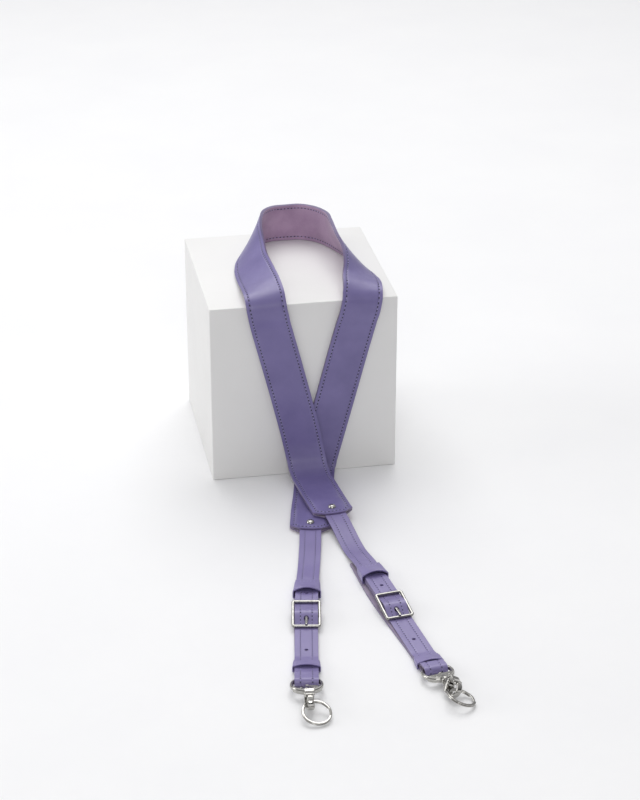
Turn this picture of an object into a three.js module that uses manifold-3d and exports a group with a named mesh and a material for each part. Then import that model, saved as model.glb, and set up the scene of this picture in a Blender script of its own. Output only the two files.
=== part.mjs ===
// A leather camera strap laid round a square display block, in millimetres, +Z up.
// The origin is the middle of the block's base, and the block's front face looks along -Y.
import * as THREE from "three";
import { mergeVertices } from "three/addons/utils/BufferGeometryUtils.js";
import Module from "manifold-3d";

const wasm = await Module();
wasm.setup();

// Fits
const clearance = 0.3; // between pieces that touch
const blockSide = 180;

// Shoulder band: a smooth outer layer over a suede lining
const bandWidth = 38;
const outerThickness = 1.5;
const liningThickness = 1.2;
const cornerLength = 7; // cut corner, along the band
const cornerWidth = 8; // cut corner, across the band
const endBow = 1.4; // how far the end edge bows out
const bandStep = 30; // longest step along the band
const strapStep = 16; // longest step along a narrow strap

// Rivet through each end of the band
const rivetInset = 10;
const rivetCapDiameter = 7.3;
const rivetCapHeight = 1.5;
const rivetPostDiameter = 2.6;
const rivetBackHeight = 0.7;

// Narrow straps
const strapWidth = 20;
const strapThickness = 1.6;
const insertLength = 22; // hidden in the end of the band
const returnLength = 67; // folded end, from the buckle's bar back to the stitches
const tipLength = 54; // from the buckle's bar to the strap's tip
const hookLength = 105; // from the buckle's bar to the fold at the hook
const holeDiameter = 3.4;
const holePitch = 41.5;
const holeOffset = 8.5; // from the buckle's bar to the hole in use
const insertMargin = 1.5; // flat room beside the strap inside the band's end

// Keepers
const keeperThickness = 1;
const upperKeeperLength = 20;
const upperKeeperFlare = 2.4;
const lowerKeeperLength = 11;
const lowerKeeperFlare = 1.4;

// Buckle: a frame with a bar across its middle
const buckleLength = 34;
const buckleWidth = 25.6;
const buckleWire = 2.6;
const buckleCorner = 2.2;
const prongWidth = 2.4;
const prongThickness = 1.6;

// Swivel snap hook
const eyeBand = 3;
const eyeRoom = 1; // beside the strap, inside the eye
const eyeDiameter = strapWidth + 2 * (eyeRoom + eyeBand);
const eyeHeight = 3.6;
const eyeBaseHeight = 5.2;
const eyeBaseDepth = 7.5; // solid part of the ring, at the swivel
const bossDiameter = 7.4;
const bossLength = 4;
const collarDiameter = 6;
const collarLength = 3.2;
const shankDiameter = 3.2;
const shankHeadDiameter = 5.4;
const shankHeadLength = 1.5;
const hookLoopRadius = 5.8; // middle of the hook's bend
const hookReach = 12; // from the boss to the middle of the bend
const hookPlate = 2.2;
const hookWidth = 5;
const hookBodyWidth = 8.2;
const gatePlate = 1.6;
const gateWidth = 4;
const gatePinDiameter = 1.6;
const gatePinSetback = 2.4; // from the start of the fork
const gatePinHeight = 2.6;
const forkLength = 4.6;
const noseAngle = 68; // degrees round the bend, where it ends
const thumbLength = 8;

// Split ring
const ringDiameter = 25;
const ringBand = 2.2;
const ringHeight = 2.4;

// What differs between the two strands. buckleAt runs from the end of the band to the buckle's bar,
// upperKeeperBack from that bar back to its keeper, and lowerKeeperBack from the fold on the eye.
const strands = [
  {
    name: "left",
    turn: 1.7,
    sway: -4.2,
    upperKeeperBack: 54,
    buckleAt: 151,
    lowerKeeperBack: 37,
    sag: 2.4,
    eyeTilt: 10,
    hookRoll: 0,
    eyeTurn: 5,
    ringShift: 5,
    ringSeat: 3.2,
    ringLift: 0.8,
    ringRoll: 0,
  },
  {
    name: "right",
    turn: 0,
    sway: 0,
    upperKeeperBack: 70,
    buckleAt: 164,
    lowerKeeperBack: 26,
    sag: 2.6,
    eyeTilt: 7,
    hookRoll: -30,
    eyeTurn: 5,
    ringShift: 3,
    ringSeat: 3,
    ringLift: 1,
    ringRoll: -20,
  },
];
const liftStart = 76; // where the straps start to lie on each other
const upperKeeperAt = (strand) => strand.buckleAt - strand.upperKeeperBack;
const lowerKeeperAt = (strand) => strand.buckleAt + hookLength - strand.lowerKeeperBack;

// The band's route, from the end of the leg on top, round the loop, to the end of the leg below.
// x, y and z place the edge that becomes the loop's lower edge, as shares of the block's side.
// acrossX, acrossY and acrossZ point from that edge over the band. ride counts the layers of
// the other leg that this one lies on.
const bandRoute = [
  { x: -0.047, y: -1.092, z: 0, acrossX: 0.99, acrossY: 0.12, acrossZ: 0, ride: 2.1 },
  { x: -0.064, y: -0.955, z: 0, acrossX: 0.99, acrossY: 0.12, acrossZ: 0, ride: 2.1 },
  { x: -0.079, y: -0.8, z: 0, acrossX: 0.99, acrossY: 0.09, acrossZ: 0, ride: 2 },
  { x: -0.09, y: -0.67, z: 0.004, acrossX: 1, acrossY: 0.05, acrossZ: 0, ride: 1.6 },
  { x: -0.099, y: -0.58, z: 0.035, acrossX: 1, acrossY: 0, acrossZ: 0, ride: 1.2 },
  { x: -0.108, y: -0.525, z: 0.105, acrossX: 1, acrossY: 0, acrossZ: 0, ride: 1 },
  { x: -0.124, y: -0.503, z: 0.2, acrossX: 1, acrossY: 0, acrossZ: 0, ride: 1 },
  { x: -0.173, y: -0.5, z: 0.42, acrossX: 1, acrossY: 0, acrossZ: 0, ride: 1 },
  { x: -0.231, y: -0.5, z: 0.66, acrossX: 1, acrossY: 0, acrossZ: 0, ride: 0.3 },
  { x: -0.288, y: -0.503, z: 0.89, acrossX: 1, acrossY: 0, acrossZ: 0, ride: 0 },
  { x: -0.302, y: -0.513, z: 0.96, acrossX: 1, acrossY: 0, acrossZ: 0, ride: 0 },
  { x: -0.308, y: -0.505, z: 1.006, acrossX: 1, acrossY: 0, acrossZ: 0.02, ride: 0 },
  { x: -0.308, y: -0.46, z: 1.02, acrossX: 1, acrossY: -0.02, acrossZ: 0.1, ride: 0 },
  { x: -0.306, y: -0.37, z: 1.02, acrossX: 0.96, acrossY: -0.1, acrossZ: 0.26, ride: 0 },
  { x: -0.301, y: -0.25, z: 1.01, acrossX: 0.9, acrossY: -0.05, acrossZ: 0.43, ride: 0 },
  { x: -0.293, y: -0.1, z: 1, acrossX: 0.79, acrossY: -0.12, acrossZ: 0.6, ride: 0 },
  { x: -0.274, y: 0.02, z: 1, acrossX: 0.72, acrossY: -0.08, acrossZ: 0.69, ride: 0 },
  { x: -0.238, y: 0.13, z: 1, acrossX: 0.57, acrossY: -0.08, acrossZ: 0.82, ride: 0 },
  { x: -0.18, y: 0.24, z: 1, acrossX: 0.38, acrossY: -0.06, acrossZ: 0.93, ride: 0 },
  { x: -0.1, y: 0.325, z: 1, acrossX: 0.17, acrossY: -0.06, acrossZ: 0.98, ride: 0 },
  { x: 0, y: 0.368, z: 1, acrossX: 0.03, acrossY: -0.07, acrossZ: 1, ride: 0 },
  { x: 0.104, y: 0.367, z: 1, acrossX: 0, acrossY: -0.05, acrossZ: 1, ride: 0 },
  { x: 0.2, y: 0.32, z: 1, acrossX: -0.05, acrossY: -0.04, acrossZ: 1, ride: 0 },
  { x: 0.262, y: 0.227, z: 1, acrossX: -0.1, acrossY: -0.02, acrossZ: 1, ride: 0 },
  { x: 0.306, y: 0.124, z: 1, acrossX: -0.27, acrossY: -0.03, acrossZ: 0.96, ride: 0 },
  { x: 0.352, y: 0, z: 1, acrossX: -0.48, acrossY: -0.18, acrossZ: 0.87, ride: 0 },
  { x: 0.397, y: -0.139, z: 1, acrossX: -0.64, acrossY: -0.16, acrossZ: 0.75, ride: 0 },
  { x: 0.422, y: -0.24, z: 1.004, acrossX: -0.8, acrossY: -0.25, acrossZ: 0.52, ride: 0 },
  { x: 0.43, y: -0.34, z: 1.012, acrossX: -0.93, acrossY: -0.12, acrossZ: 0.32, ride: 0 },
  { x: 0.424, y: -0.44, z: 1.02, acrossX: -0.97, acrossY: -0.06, acrossZ: 0.16, ride: 0 },
  { x: 0.414, y: -0.506, z: 1.006, acrossX: -1, acrossY: 0, acrossZ: 0.03, ride: 0 },
  { x: 0.404, y: -0.514, z: 0.96, acrossX: -1, acrossY: 0, acrossZ: 0, ride: 0 },
  { x: 0.388, y: -0.504, z: 0.89, acrossX: -1, acrossY: 0, acrossZ: 0, ride: 0 },
  { x: 0.327, y: -0.5, z: 0.65, acrossX: -1, acrossY: 0, acrossZ: 0, ride: 0 },
  { x: 0.247, y: -0.5, z: 0.34, acrossX: -1, acrossY: 0, acrossZ: 0, ride: 0 },
  { x: 0.178, y: -0.503, z: 0.08, acrossX: -1, acrossY: 0, acrossZ: 0, ride: 0 },
  { x: 0.162, y: -0.523, z: 0.02, acrossX: -1, acrossY: 0, acrossZ: 0, ride: 0 },
  { x: 0.148, y: -0.58, z: 0, acrossX: -1, acrossY: 0.06, acrossZ: 0, ride: 0 },
  { x: 0.102, y: -0.79, z: 0, acrossX: -0.98, acrossY: 0.17, acrossZ: 0, ride: 0 },
  { x: 0.048, y: -1.02, z: 0.0066, acrossX: -0.98, acrossY: 0.196, acrossZ: 0, ride: 0 },
  { x: 0.014, y: -1.182, z: 0.0066, acrossX: -0.98, acrossY: 0.196, acrossZ: 0, ride: 0 },
];

const legStack = liningThickness + outerThickness + 2 * clearance;
const insertStack = strapThickness + clearance;
const outerLevel = clearance + liningThickness + clearance;

const smoothLilac = new THREE.MeshStandardMaterial({ color: 0x8f84bd, roughness: 0.45, metalness: 0 });
const mauveSuede = new THREE.MeshStandardMaterial({ color: 0xa084a0, roughness: 0.95, metalness: 0 });
const nickel = new THREE.MeshStandardMaterial({ color: 0xd2d0cb, roughness: 0.2, metalness: 1 });
const whitePaint = new THREE.MeshStandardMaterial({ color: 0xf2f1ee, roughness: 0.7, metalness: 0 });

const object = new THREE.Group();

function toSolid(geometry) {
  const plain = geometry.index ? geometry.toNonIndexed() : geometry.clone();
  plain.deleteAttribute("normal");
  plain.deleteAttribute("uv");
  const merged = mergeVertices(plain, 1e-4);
  const vertProperties = new Float32Array(merged.attributes.position.array);
  const triVerts = new Uint32Array(merged.index.array);
  return new wasm.Manifold(new wasm.Mesh({ numProp: 3, vertProperties, triVerts }));
}

function toGeometry(solid) {
  const data = solid.getMesh();
  const geometry = new THREE.BufferGeometry();
  geometry.setAttribute("position", new THREE.BufferAttribute(data.vertProperties, 3));
  geometry.setIndex(new THREE.BufferAttribute(data.triVerts, 1));
  geometry.computeVertexNormals();
  return geometry;
}

function join(...geometries) {
  return toGeometry(geometries.map(toSolid).reduce((whole, piece) => whole.add(piece)));
}

function cut(geometry, ...tools) {
  return toGeometry(tools.map(toSolid).reduce((rest, tool) => rest.subtract(tool), toSolid(geometry)));
}

function addMesh(group, name, geometry, material) {
  const mesh = new THREE.Mesh(geometry, material);
  mesh.name = name;
  group.add(mesh);
  return mesh;
}

function box(sizeX, sizeY, sizeZ, x, y, z) {
  return new THREE.BoxGeometry(sizeX, sizeY, sizeZ).translate(x, y, z);
}

// A bar along X, Y or Z through the given middle point.
function rod(diameter, length, axis, x, y, z, sides = 16) {
  const geometry = new THREE.CylinderGeometry(diameter / 2, diameter / 2, length, sides);
  if (axis === "x") geometry.rotateZ(-Math.PI / 2);
  if (axis === "z") geometry.rotateX(Math.PI / 2);
  return geometry.translate(x, y, z);
}

// A smooth line through the values that never runs past them.
function smoothLine(stations, values) {
  const last = values.length - 1;
  const slopes = [];
  for (let i = 0; i < last; i += 1) {
    slopes.push((values[i + 1] - values[i]) / (stations[i + 1] - stations[i]));
  }
  const tangents = values.map((_, i) => {
    if (i === 0) return slopes[0];
    if (i === last) return slopes[last - 1];
    if (slopes[i - 1] * slopes[i] <= 0) return 0;
    const before = stations[i] - stations[i - 1];
    const after = stations[i + 1] - stations[i];
    const whole = 3 * (before + after);
    return whole / ((2 * after + before) / slopes[i - 1] + (after + 2 * before) / slopes[i]);
  });
  return (at) => {
    let i = 0;
    while (i < last - 1 && at > stations[i + 1]) i += 1;
    const width = stations[i + 1] - stations[i];
    const t = (at - stations[i]) / width;
    const startPull = width * tangents[i] * t * (1 - t) * (1 - t);
    const endPull = width * tangents[i + 1] * t * t * (t - 1);
    const blend = t * t * (3 - 2 * t);
    return values[i] * (1 - blend) + values[i + 1] * blend + startPull + endPull;
  };
}

function easeInOut(t) {
  const held = Math.min(Math.max(t, 0), 1);
  return held * held * (3 - 2 * held);
}

// The band's lower edge, and the way across it, at any distance along the route.
function followRoute() {
  const edge = bandRoute.map((row) => {
    const place = new THREE.Vector3(row.x, row.y, row.z).multiplyScalar(blockSide);
    return place.setZ(place.z + clearance);
  });
  const stations = [0];
  for (let i = 1; i < edge.length; i += 1) {
    stations.push(stations[i - 1] + edge[i].distanceTo(edge[i - 1]));
  }
  const line = (values) => smoothLine(stations, values);
  const place = ["x", "y", "z"].map((key) => line(edge.map((point) => point[key])));
  const across = ["acrossX", "acrossY", "acrossZ"].map((key) => line(bandRoute.map((row) => row[key])));
  const ride = line(bandRoute.map((row) => row.ride * legStack));
  return {
    length: stations[stations.length - 1],
    stations,
    edge: (at) => new THREE.Vector3(...place.map((value) => value(at))),
    across: (at) => new THREE.Vector3(...across.map((value) => value(at))).normalize(),
    ride,
  };
}

const route = followRoute();

// The point at a distance along the band, a distance from its middle line and a height above
// the surface that it rests on.
function bandPoint(along, aside, height) {
  const at = Math.min(Math.max(along, 0), route.length);
  const step = 0.5;
  const from = Math.max(at - step, 0);
  const to = Math.min(at + step, route.length);
  const forward = route.edge(to).sub(route.edge(from)).normalize();
  const across = route.across(at);
  const slant = across.dot(forward);
  const reach = (bandWidth / 2 + aside) / Math.sqrt(1 - slant * slant);
  const drift = route.across(to).sub(route.across(from)).multiplyScalar(reach / (to - from));
  const heading = forward.clone().add(drift).normalize();
  const normal = across.clone().cross(heading).normalize();
  return route
    .edge(at)
    .addScaledVector(across, reach)
    .addScaledVector(normal, height + route.ride(at))
    .addScaledVector(forward, along - at);
}

// Stations along the band: every route row, with even steps between, and close ones at the ends.
function bandStations() {
  const list = [];
  for (let i = 0; i < route.stations.length - 1; i += 1) {
    const width = route.stations[i + 1] - route.stations[i];
    const parts = Math.max(1, Math.round(width / bandStep));
    for (let k = 0; k < parts; k += 1) list.push(route.stations[i] + (width * k) / parts);
  }
  list.push(route.length);
  const near = [cornerLength / 2, cornerLength, insertLength + 2 * clearance];
  const far = near.map((along) => route.length - along);
  const all = [...list, ...near, ...far].sort((a, b) => a - b);
  return all.filter((at, i) => i === 0 || at - all[i - 1] > 2 * clearance);
}

// How far the outer layer lifts over the narrow strap that is held in each end.
function insertLift(along, aside) {
  const fromEnd = Math.min(along, route.length - along);
  const inward = 1 - easeInOut((fromEnd - insertLength - 2 * clearance) / insertLength);
  const flat = strapWidth / 2 + insertMargin;
  const outward = 1 - easeInOut((Math.abs(aside) - flat) / (bandWidth / 2 - 2 * clearance - flat));
  const openEnd = 1 - Math.min(fromEnd / (1.5 * cornerLength), 1);
  return insertStack * inward * Math.max(outward, openEnd);
}

// One layer of the band, between two heights above its resting surface.
function bandLayer(bottom, top, lifted) {
  const flat = strapWidth / 2 + insertMargin;
  const half = bandWidth / 2;
  const shares = [-1, -(half + flat) / 2 / half, -flat / half, 0, flat / half, (half + flat) / 2 / half, 1];
  const stations = bandStations();
  const count = shares.length;
  const positions = [];
  [bottom, top].forEach((height) => {
    stations.forEach((along) => {
      const fromEnd = Math.min(along, route.length - along);
      const narrow = cornerWidth * (1 - Math.min(fromEnd / cornerLength, 1));
      const side = along < route.length / 2 ? -1 : 1;
      const fade = 1 - Math.min(fromEnd / cornerLength, 1);
      shares.forEach((share) => {
        const aside = share * (half - narrow);
        const bowed = along + side * endBow * fade * (1 - share * share);
        const lift = lifted ? insertLift(along, aside) : 0;
        positions.push(...bandPoint(bowed, aside, height + lift).toArray());
      });
    });
  });
  const below = (row, column) => row * count + column;
  const above = (row, column) => stations.length * count + below(row, column);
  const indices = [];
  const quad = (a, b, c, d) => indices.push(a, b, c, a, c, d);
  const lastRow = stations.length - 1;
  const lastColumn = count - 1;
  for (let row = 0; row < lastRow; row += 1) {
    for (let column = 0; column < lastColumn; column += 1) {
      quad(above(row, column), above(row, column + 1), above(row + 1, column + 1), above(row + 1, column));
      quad(below(row, column), below(row + 1, column), below(row + 1, column + 1), below(row, column + 1));
    }
    const next = row + 1;
    quad(below(row, 0), above(row, 0), above(next, 0), below(next, 0));
    quad(below(next, lastColumn), above(next, lastColumn), above(row, lastColumn), below(row, lastColumn));
  }
  for (let column = 0; column < lastColumn; column += 1) {
    const next = column + 1;
    quad(below(0, column), below(0, next), above(0, next), above(0, column));
    quad(above(lastRow, column), above(lastRow, next), below(lastRow, next), below(lastRow, column));
  }
  return meshOf(positions, indices);
}

// The frame at one end of the band: X runs out along the narrow strap, which is turned by some
// degrees about the rivet.
function bandEnd(along, turn) {
  const outward = along === 0 ? -1 : 1;
  const middle = bandPoint(along, 0, 0);
  const rivet = bandPoint(along - outward * rivetInset, 0, 0);
  const heading = middle.clone().sub(rivet);
  const angle = Math.atan2(heading.y, heading.x) + THREE.MathUtils.degToRad(turn);
  return {
    x: rivet.x + rivetInset * Math.cos(angle),
    y: rivet.y + rivetInset * Math.sin(angle),
    angle,
    height: middle.z,
  };
}

// Places a strand's group at its end of the band.
function strandGroup(end) {
  const group = new THREE.Group();
  group.position.set(end.x, end.y, 0);
  group.rotation.z = end.angle;
  object.add(group);
  return group;
}

// How far a strand's gentle curve has moved it sideways at a distance along it.
function aside(strand, x) {
  return strand.sway * easeInOut(x / strand.buckleAt);
}

// Lays a piece of leather along its strand's curve.
function swayed(geometry, strand) {
  const position = geometry.attributes.position;
  for (let i = 0; i < position.count; i += 1) {
    position.setY(i, position.getY(i) + aside(strand, position.getX(i)));
  }
  return geometry;
}

// The same line with no step longer than the strap's step.
function withSteps(points) {
  const line = [new THREE.Vector2(...points[0])];
  points.slice(1).forEach((point) => {
    const from = line[line.length - 1];
    const to = new THREE.Vector2(...point);
    const parts = Math.ceil(from.distanceTo(to) / strapStep);
    for (let k = 1; k <= parts; k += 1) line.push(from.clone().lerp(to, k / parts));
  });
  return line;
}

// A strap seen from the side: its middle line as points [x, z], given a thickness and a width.
function strapSolid(points, thickness, width) {
  const line = withSteps(points);
  const offset = (i, distance) => {
    const before = line[Math.max(i - 1, 0)];
    const after = line[Math.min(i + 1, line.length - 1)];
    const heading = after.clone().sub(before).normalize();
    return new THREE.Vector2(line[i].x - heading.y * distance, line[i].y + heading.x * distance);
  };
  const positions = [];
  line.forEach((_, i) => {
    const low = offset(i, -thickness / 2);
    const high = offset(i, thickness / 2);
    positions.push(low.x, -width / 2, low.y, low.x, width / 2, low.y);
    positions.push(high.x, width / 2, high.y, high.x, -width / 2, high.y);
  });
  const indices = [0, 3, 2, 0, 2, 1];
  const last = 4 * (line.length - 1);
  for (let row = 0; row < last; row += 4) {
    for (let k = 0; k < 4; k += 1) {
      const next = (k + 1) % 4;
      indices.push(row + k, row + next, row + 4 + next, row + k, row + 4 + next, row + 4 + k);
    }
  }
  indices.push(last, last + 1, last + 2, last, last + 2, last + 3);
  return meshOf(positions, indices);
}

function meshOf(positions, indices) {
  const geometry = new THREE.BufferGeometry();
  geometry.setAttribute("position", new THREE.Float32BufferAttribute(positions, 3));
  geometry.setIndex(indices);
  return geometry;
}

// A side view shape, drawn in X and Z, given a width along Y about the middle.
function sideExtrusion(shape, width, curveSegments = 6) {
  const geometry = new THREE.ExtrudeGeometry(shape, { depth: width, bevelEnabled: false, curveSegments });
  return geometry.rotateX(Math.PI / 2).translate(0, width / 2, 0);
}

// Points of an even rise from one height to another, without the first.
function slope(fromX, fromZ, toX, toZ, steps = 6) {
  const points = [];
  for (let i = 1; i <= steps; i += 1) {
    const t = i / steps;
    points.push([fromX + (toX - fromX) * t, fromZ + (toZ - fromZ) * easeInOut(t)]);
  }
  return points;
}

// Points of an arc, with angles in degrees.
function arc(x, z, radius, from, to, steps = 8) {
  const points = [];
  for (let i = 0; i <= steps; i += 1) {
    const angle = THREE.MathUtils.degToRad(from + ((to - from) * i) / steps);
    points.push([x + radius * Math.cos(angle), z + radius * Math.sin(angle)]);
  }
  return points;
}

// Heights of the layers where the straps lie on each other, each the middle of its layer.
const levels = {};
levels.back = clearance + strapThickness / 2;
levels.returned = levels.back + strapThickness + keeperThickness + 2 * clearance;
levels.connector = levels.returned + strapThickness + clearance;
levels.tip = levels.connector + strapThickness + clearance;
levels.front = levels.back + strapThickness + clearance;
levels.keptBack = levels.back + keeperThickness + clearance;
levels.keptFront = levels.keptBack + strapThickness + clearance;

// Middle line of the fold on the buckle's bar.
const barLoop = (buckleWire + strapThickness) / 2 + 1.5 * clearance;
levels.bar = levels.back + strapThickness + clearance + barLoop;
levels.overBar = levels.bar + barLoop + strapThickness + 2 * clearance;
levels.farBar = levels.tip + (strapThickness + buckleWire) / 2 + clearance;
levels.nearBar = levels.front + (strapThickness + buckleWire) / 2 + clearance;

const eyeLoop = eyeHeight / 2 + 2 * clearance + strapThickness / 2; // middle line of the fold on the eye
const eyeHole = eyeDiameter / 2 - eyeBand;
// From the middle of the eye back to the middle of the fold that it holds.
const strapReach = Math.sqrt(eyeHole ** 2 - (strapWidth / 2) ** 2); // where the strap's edges meet the eye
const foldBack = strapReach - 3 * clearance + eyeLoop - strapThickness / 2;

const halfBuckle = (buckleLength - buckleWire) / 2;

// The strap that comes out of the band, runs to the buckle's bar, folds round it and comes back.
function connectorStrap(strand, end) {
  const start = end.height + outerLevel + strapThickness / 2;
  const bar = strand.buckleAt;
  const middle = liftStart * 0.75;
  const points = [[-insertLength, start], [0, start]];
  points.push(...slope(0, start, middle, strand.sag, 6));
  points.push(...slope(middle, strand.sag, upperKeeperAt(strand) - 4, levels.connector, 6));
  points.push([bar - 4 * barLoop, levels.connector]);
  points.push(...slope(bar - 4 * barLoop, levels.connector, bar, levels.bar + barLoop, 4));
  points.push(...arc(bar, levels.bar, barLoop, 75, -90, 9));
  points.push(...slope(bar, levels.bar - barLoop, bar - 4 * barLoop, levels.returned, 4));
  points.push([bar - returnLength, levels.returned]);
  const slotLength = 2 * barLoop + strapThickness + prongWidth;
  const slotX = bar + slotLength / 2 - barLoop - prongWidth;
  const slot = box(slotLength, prongWidth + 2 * clearance, 6 * barLoop, slotX, strand.sway, levels.bar);
  const postHole = rod(rivetPostDiameter + 2 * clearance, 6 * strapThickness, "z", -rivetInset, 0, start);
  return cut(swayed(strapSolid(points, strapThickness, strapWidth), strand), slot, postHole);
}

// The strap with holes: from its tip through the buckle to the hook's eye, round it and back.
function holedStrap(strand, prong) {
  const bar = strand.buckleAt;
  const eye = eyePlace(strand);
  const keeper = lowerKeeperAt(strand);
  const run = 5 * strapThickness; // length of a gentle change of height
  const keeperEnd = keeper + lowerKeeperLength;
  const wireStart = eye.x - eyeDiameter / 2 - clearance;
  const overWire = levels.back + strapThickness + eyeHeight + 4 * clearance;
  const within = halfBuckle - buckleWire;
  const points = [[bar - tipLength, levels.tip], [bar - within, levels.tip]];
  points.push(...slope(bar - within, levels.tip, bar, levels.overBar, 5));
  points.push(...slope(bar, levels.overBar, bar + within, levels.front, 7));
  points.push([keeper - run, levels.front]);
  points.push(...slope(keeper - run, levels.front, keeper, levels.keptFront, 4));
  points.push([keeperEnd, levels.keptFront]);
  points.push(...slope(keeperEnd, levels.keptFront, wireStart, overWire, 4));
  points.push(...arc(eye.foldX, eye.foldZ, eyeLoop, 90 + strand.eyeTilt, -90, 9));
  points.push([wireStart, levels.back]);
  points.push(...slope(wireStart, levels.back, keeperEnd, levels.keptBack, 4));
  points.push([keeper, levels.keptBack]);
  points.push(...slope(keeper, levels.keptBack, keeper - run, levels.back, 4));
  points.push([liftStart, levels.back]);
  const holes = [holeOffset - holePitch, holeOffset + holePitch].map((offset) => {
    const depth = levels.overBar - levels.keptBack;
    const x = bar + offset;
    const middle = levels.keptBack + depth / 2 - 0.2;
    return rod(holeDiameter, depth, "z", x, aside(strand, x), middle, 12);
  });
  const prongSpace = prong.translate(0, strand.sway, 0);
  return cut(swayed(strapSolid(points, strapThickness, strapWidth), strand), prongSpace, ...holes);
}

// The eye leans up towards the hook, and its far edge rests on the strap's lower layer.
function eyePlace(strand) {
  const tilt = THREE.MathUtils.degToRad(strand.eyeTilt);
  const foldX = strand.buckleAt + hookLength - eyeLoop - strapThickness / 2;
  const farEdge = levels.back + strapThickness / 2 + 2 * clearance + (eyeHeight / 2) * Math.cos(tilt);
  const z = farEdge + (eyeDiameter / 2) * Math.sin(tilt);
  return { x: foldX + foldBack, z, tilt, foldX, foldZ: z - foldBack * Math.sin(tilt) };
}

// A rectangle with rounded corners about a middle, as points [y, z], all round.
function roundedOutline(halfWidth, low, high, radius, crown, steps = 3) {
  const corners = [
    [halfWidth - radius, low + radius, -90],
    [halfWidth - radius, high - radius, 0],
    [radius - halfWidth, high - radius, 90],
    [radius - halfWidth, low + radius, 180],
  ];
  return corners.flatMap(([y, z, from]) =>
    arc(y, z, radius, from, from + 90, steps).map(([py, pz]) => {
      const arch = pz > (low + high) / 2 ? crown * (1 - (py / halfWidth) ** 2) : 0;
      return [py, pz + arch];
    }),
  );
}

// A closed leather loop round the straps. It opens out towards the hook by the flare.
function keeperSolid(from, length, low, high, flare) {
  const inside = strapWidth / 2 + clearance;
  const sections = [0, 0.6, 1].map((share) => {
    const spread = flare * share * share;
    return {
      x: from + length * share,
      inner: roundedOutline(inside + spread / 2, low, high, clearance, spread * 0.6),
      outer: roundedOutline(
        inside + spread / 2 + keeperThickness,
        low - keeperThickness,
        high + keeperThickness,
        1.2,
        spread * 0.6,
      ),
    };
  });
  const count = sections[0].inner.length;
  const positions = [];
  sections.forEach(({ x, inner, outer }) => {
    [...outer, ...inner].forEach(([y, z]) => positions.push(x, y, z));
  });
  const outerIndex = (row, i) => row * 2 * count + (i % count);
  const innerIndex = (row, i) => outerIndex(row, i) + count;
  const indices = [];
  const quad = (a, b, c, d) => indices.push(a, b, c, a, c, d);
  const last = sections.length - 1;
  for (let i = 0; i < count; i += 1) {
    for (let row = 0; row < last; row += 1) {
      quad(outerIndex(row, i), outerIndex(row, i + 1), outerIndex(row + 1, i + 1), outerIndex(row + 1, i));
      quad(innerIndex(row, i), innerIndex(row + 1, i), innerIndex(row + 1, i + 1), innerIndex(row, i + 1));
    }
    quad(outerIndex(0, i), innerIndex(0, i), innerIndex(0, i + 1), outerIndex(0, i + 1));
    quad(outerIndex(last, i), outerIndex(last, i + 1), innerIndex(last, i + 1), innerIndex(last, i));
  }
  return meshOf(positions, indices);
}

function roundedRectangle(halfX, halfY, radius) {
  const outline = new THREE.Shape();
  outline.moveTo(halfX - radius, -halfY);
  outline.absarc(halfX - radius, radius - halfY, radius, -Math.PI / 2, 0);
  outline.absarc(halfX - radius, halfY - radius, radius, 0, Math.PI / 2);
  outline.absarc(radius - halfX, halfY - radius, radius, Math.PI / 2, Math.PI);
  outline.absarc(radius - halfX, radius - halfY, radius, Math.PI, 1.5 * Math.PI);
  return outline;
}

// A flat wire loop with softened edges, lying in X and Y about the origin.
function wireLoop(outer, inner, wire) {
  outer.holes.push(inner);
  const bevel = wire * 0.25;
  return new THREE.ExtrudeGeometry(outer, {
    depth: wire - 2 * bevel,
    bevelThickness: bevel,
    bevelSize: bevel,
    bevelOffset: -bevel,
    bevelSegments: 1,
    curveSegments: 3,
  }).translate(0, 0, bevel - wire / 2);
}

// The buckle's frame leans down towards the hook. Its middle bar sits below the frame.
function buckleFrame(strand) {
  const bar = strand.buckleAt;
  const lean = Math.atan2(levels.farBar - levels.nearBar, 2 * halfBuckle);
  const rimHeight = (levels.farBar + levels.nearBar) / 2;
  const halfX = buckleLength / 2 / Math.cos(lean);
  const halfY = buckleWidth / 2;
  const frame = wireLoop(
    roundedRectangle(halfX, halfY, buckleCorner),
    roundedRectangle(halfX - buckleWire, halfY - buckleWire, buckleCorner / 2),
    buckleWire,
  );
  frame.rotateY(lean).translate(bar, 0, rimHeight);
  const side = halfY - buckleWire / 2;
  const drop = rimHeight - levels.bar;
  const lugAt = (y) => box(buckleWire, buckleWire * 0.8, drop, bar, y, levels.bar + drop / 2);
  const lugs = [-side, side].map(lugAt);
  return join(frame, rod(buckleWire, 2 * side + buckleWire * 0.8, "y", bar, 0, levels.bar, 12), ...lugs);
}

// The prong loops round the middle bar and rests on the bar nearest the hook.
function prongSolid(strand, grow) {
  const bar = strand.buckleAt;
  const inside = buckleWire / 2 + clearance - grow;
  const outside = buckleWire / 2 + clearance + prongThickness + grow;
  const restZ = levels.nearBar + buckleWire / 2 + clearance + prongThickness / 2;
  const startZ = levels.bar + inside + prongThickness / 2 + grow;
  const endX = bar + halfBuckle + buckleWire / 2;
  const loop = new THREE.Shape();
  loop.absarc(bar, levels.bar, outside, 0, 2 * Math.PI);
  loop.holes.push(new THREE.Path().absarc(bar, levels.bar, inside, 0, 2 * Math.PI));
  const tongue = strapSolid([[bar, startZ], [endX, restZ]], prongThickness + 2 * grow, prongWidth + 2 * grow);
  const barSpace = rod(2 * inside, 2 * prongWidth, "y", bar, 0, levels.bar, 20);
  return cut(join(sideExtrusion(loop, prongWidth + 2 * grow, 10), tongue), barSpace);
}

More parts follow.
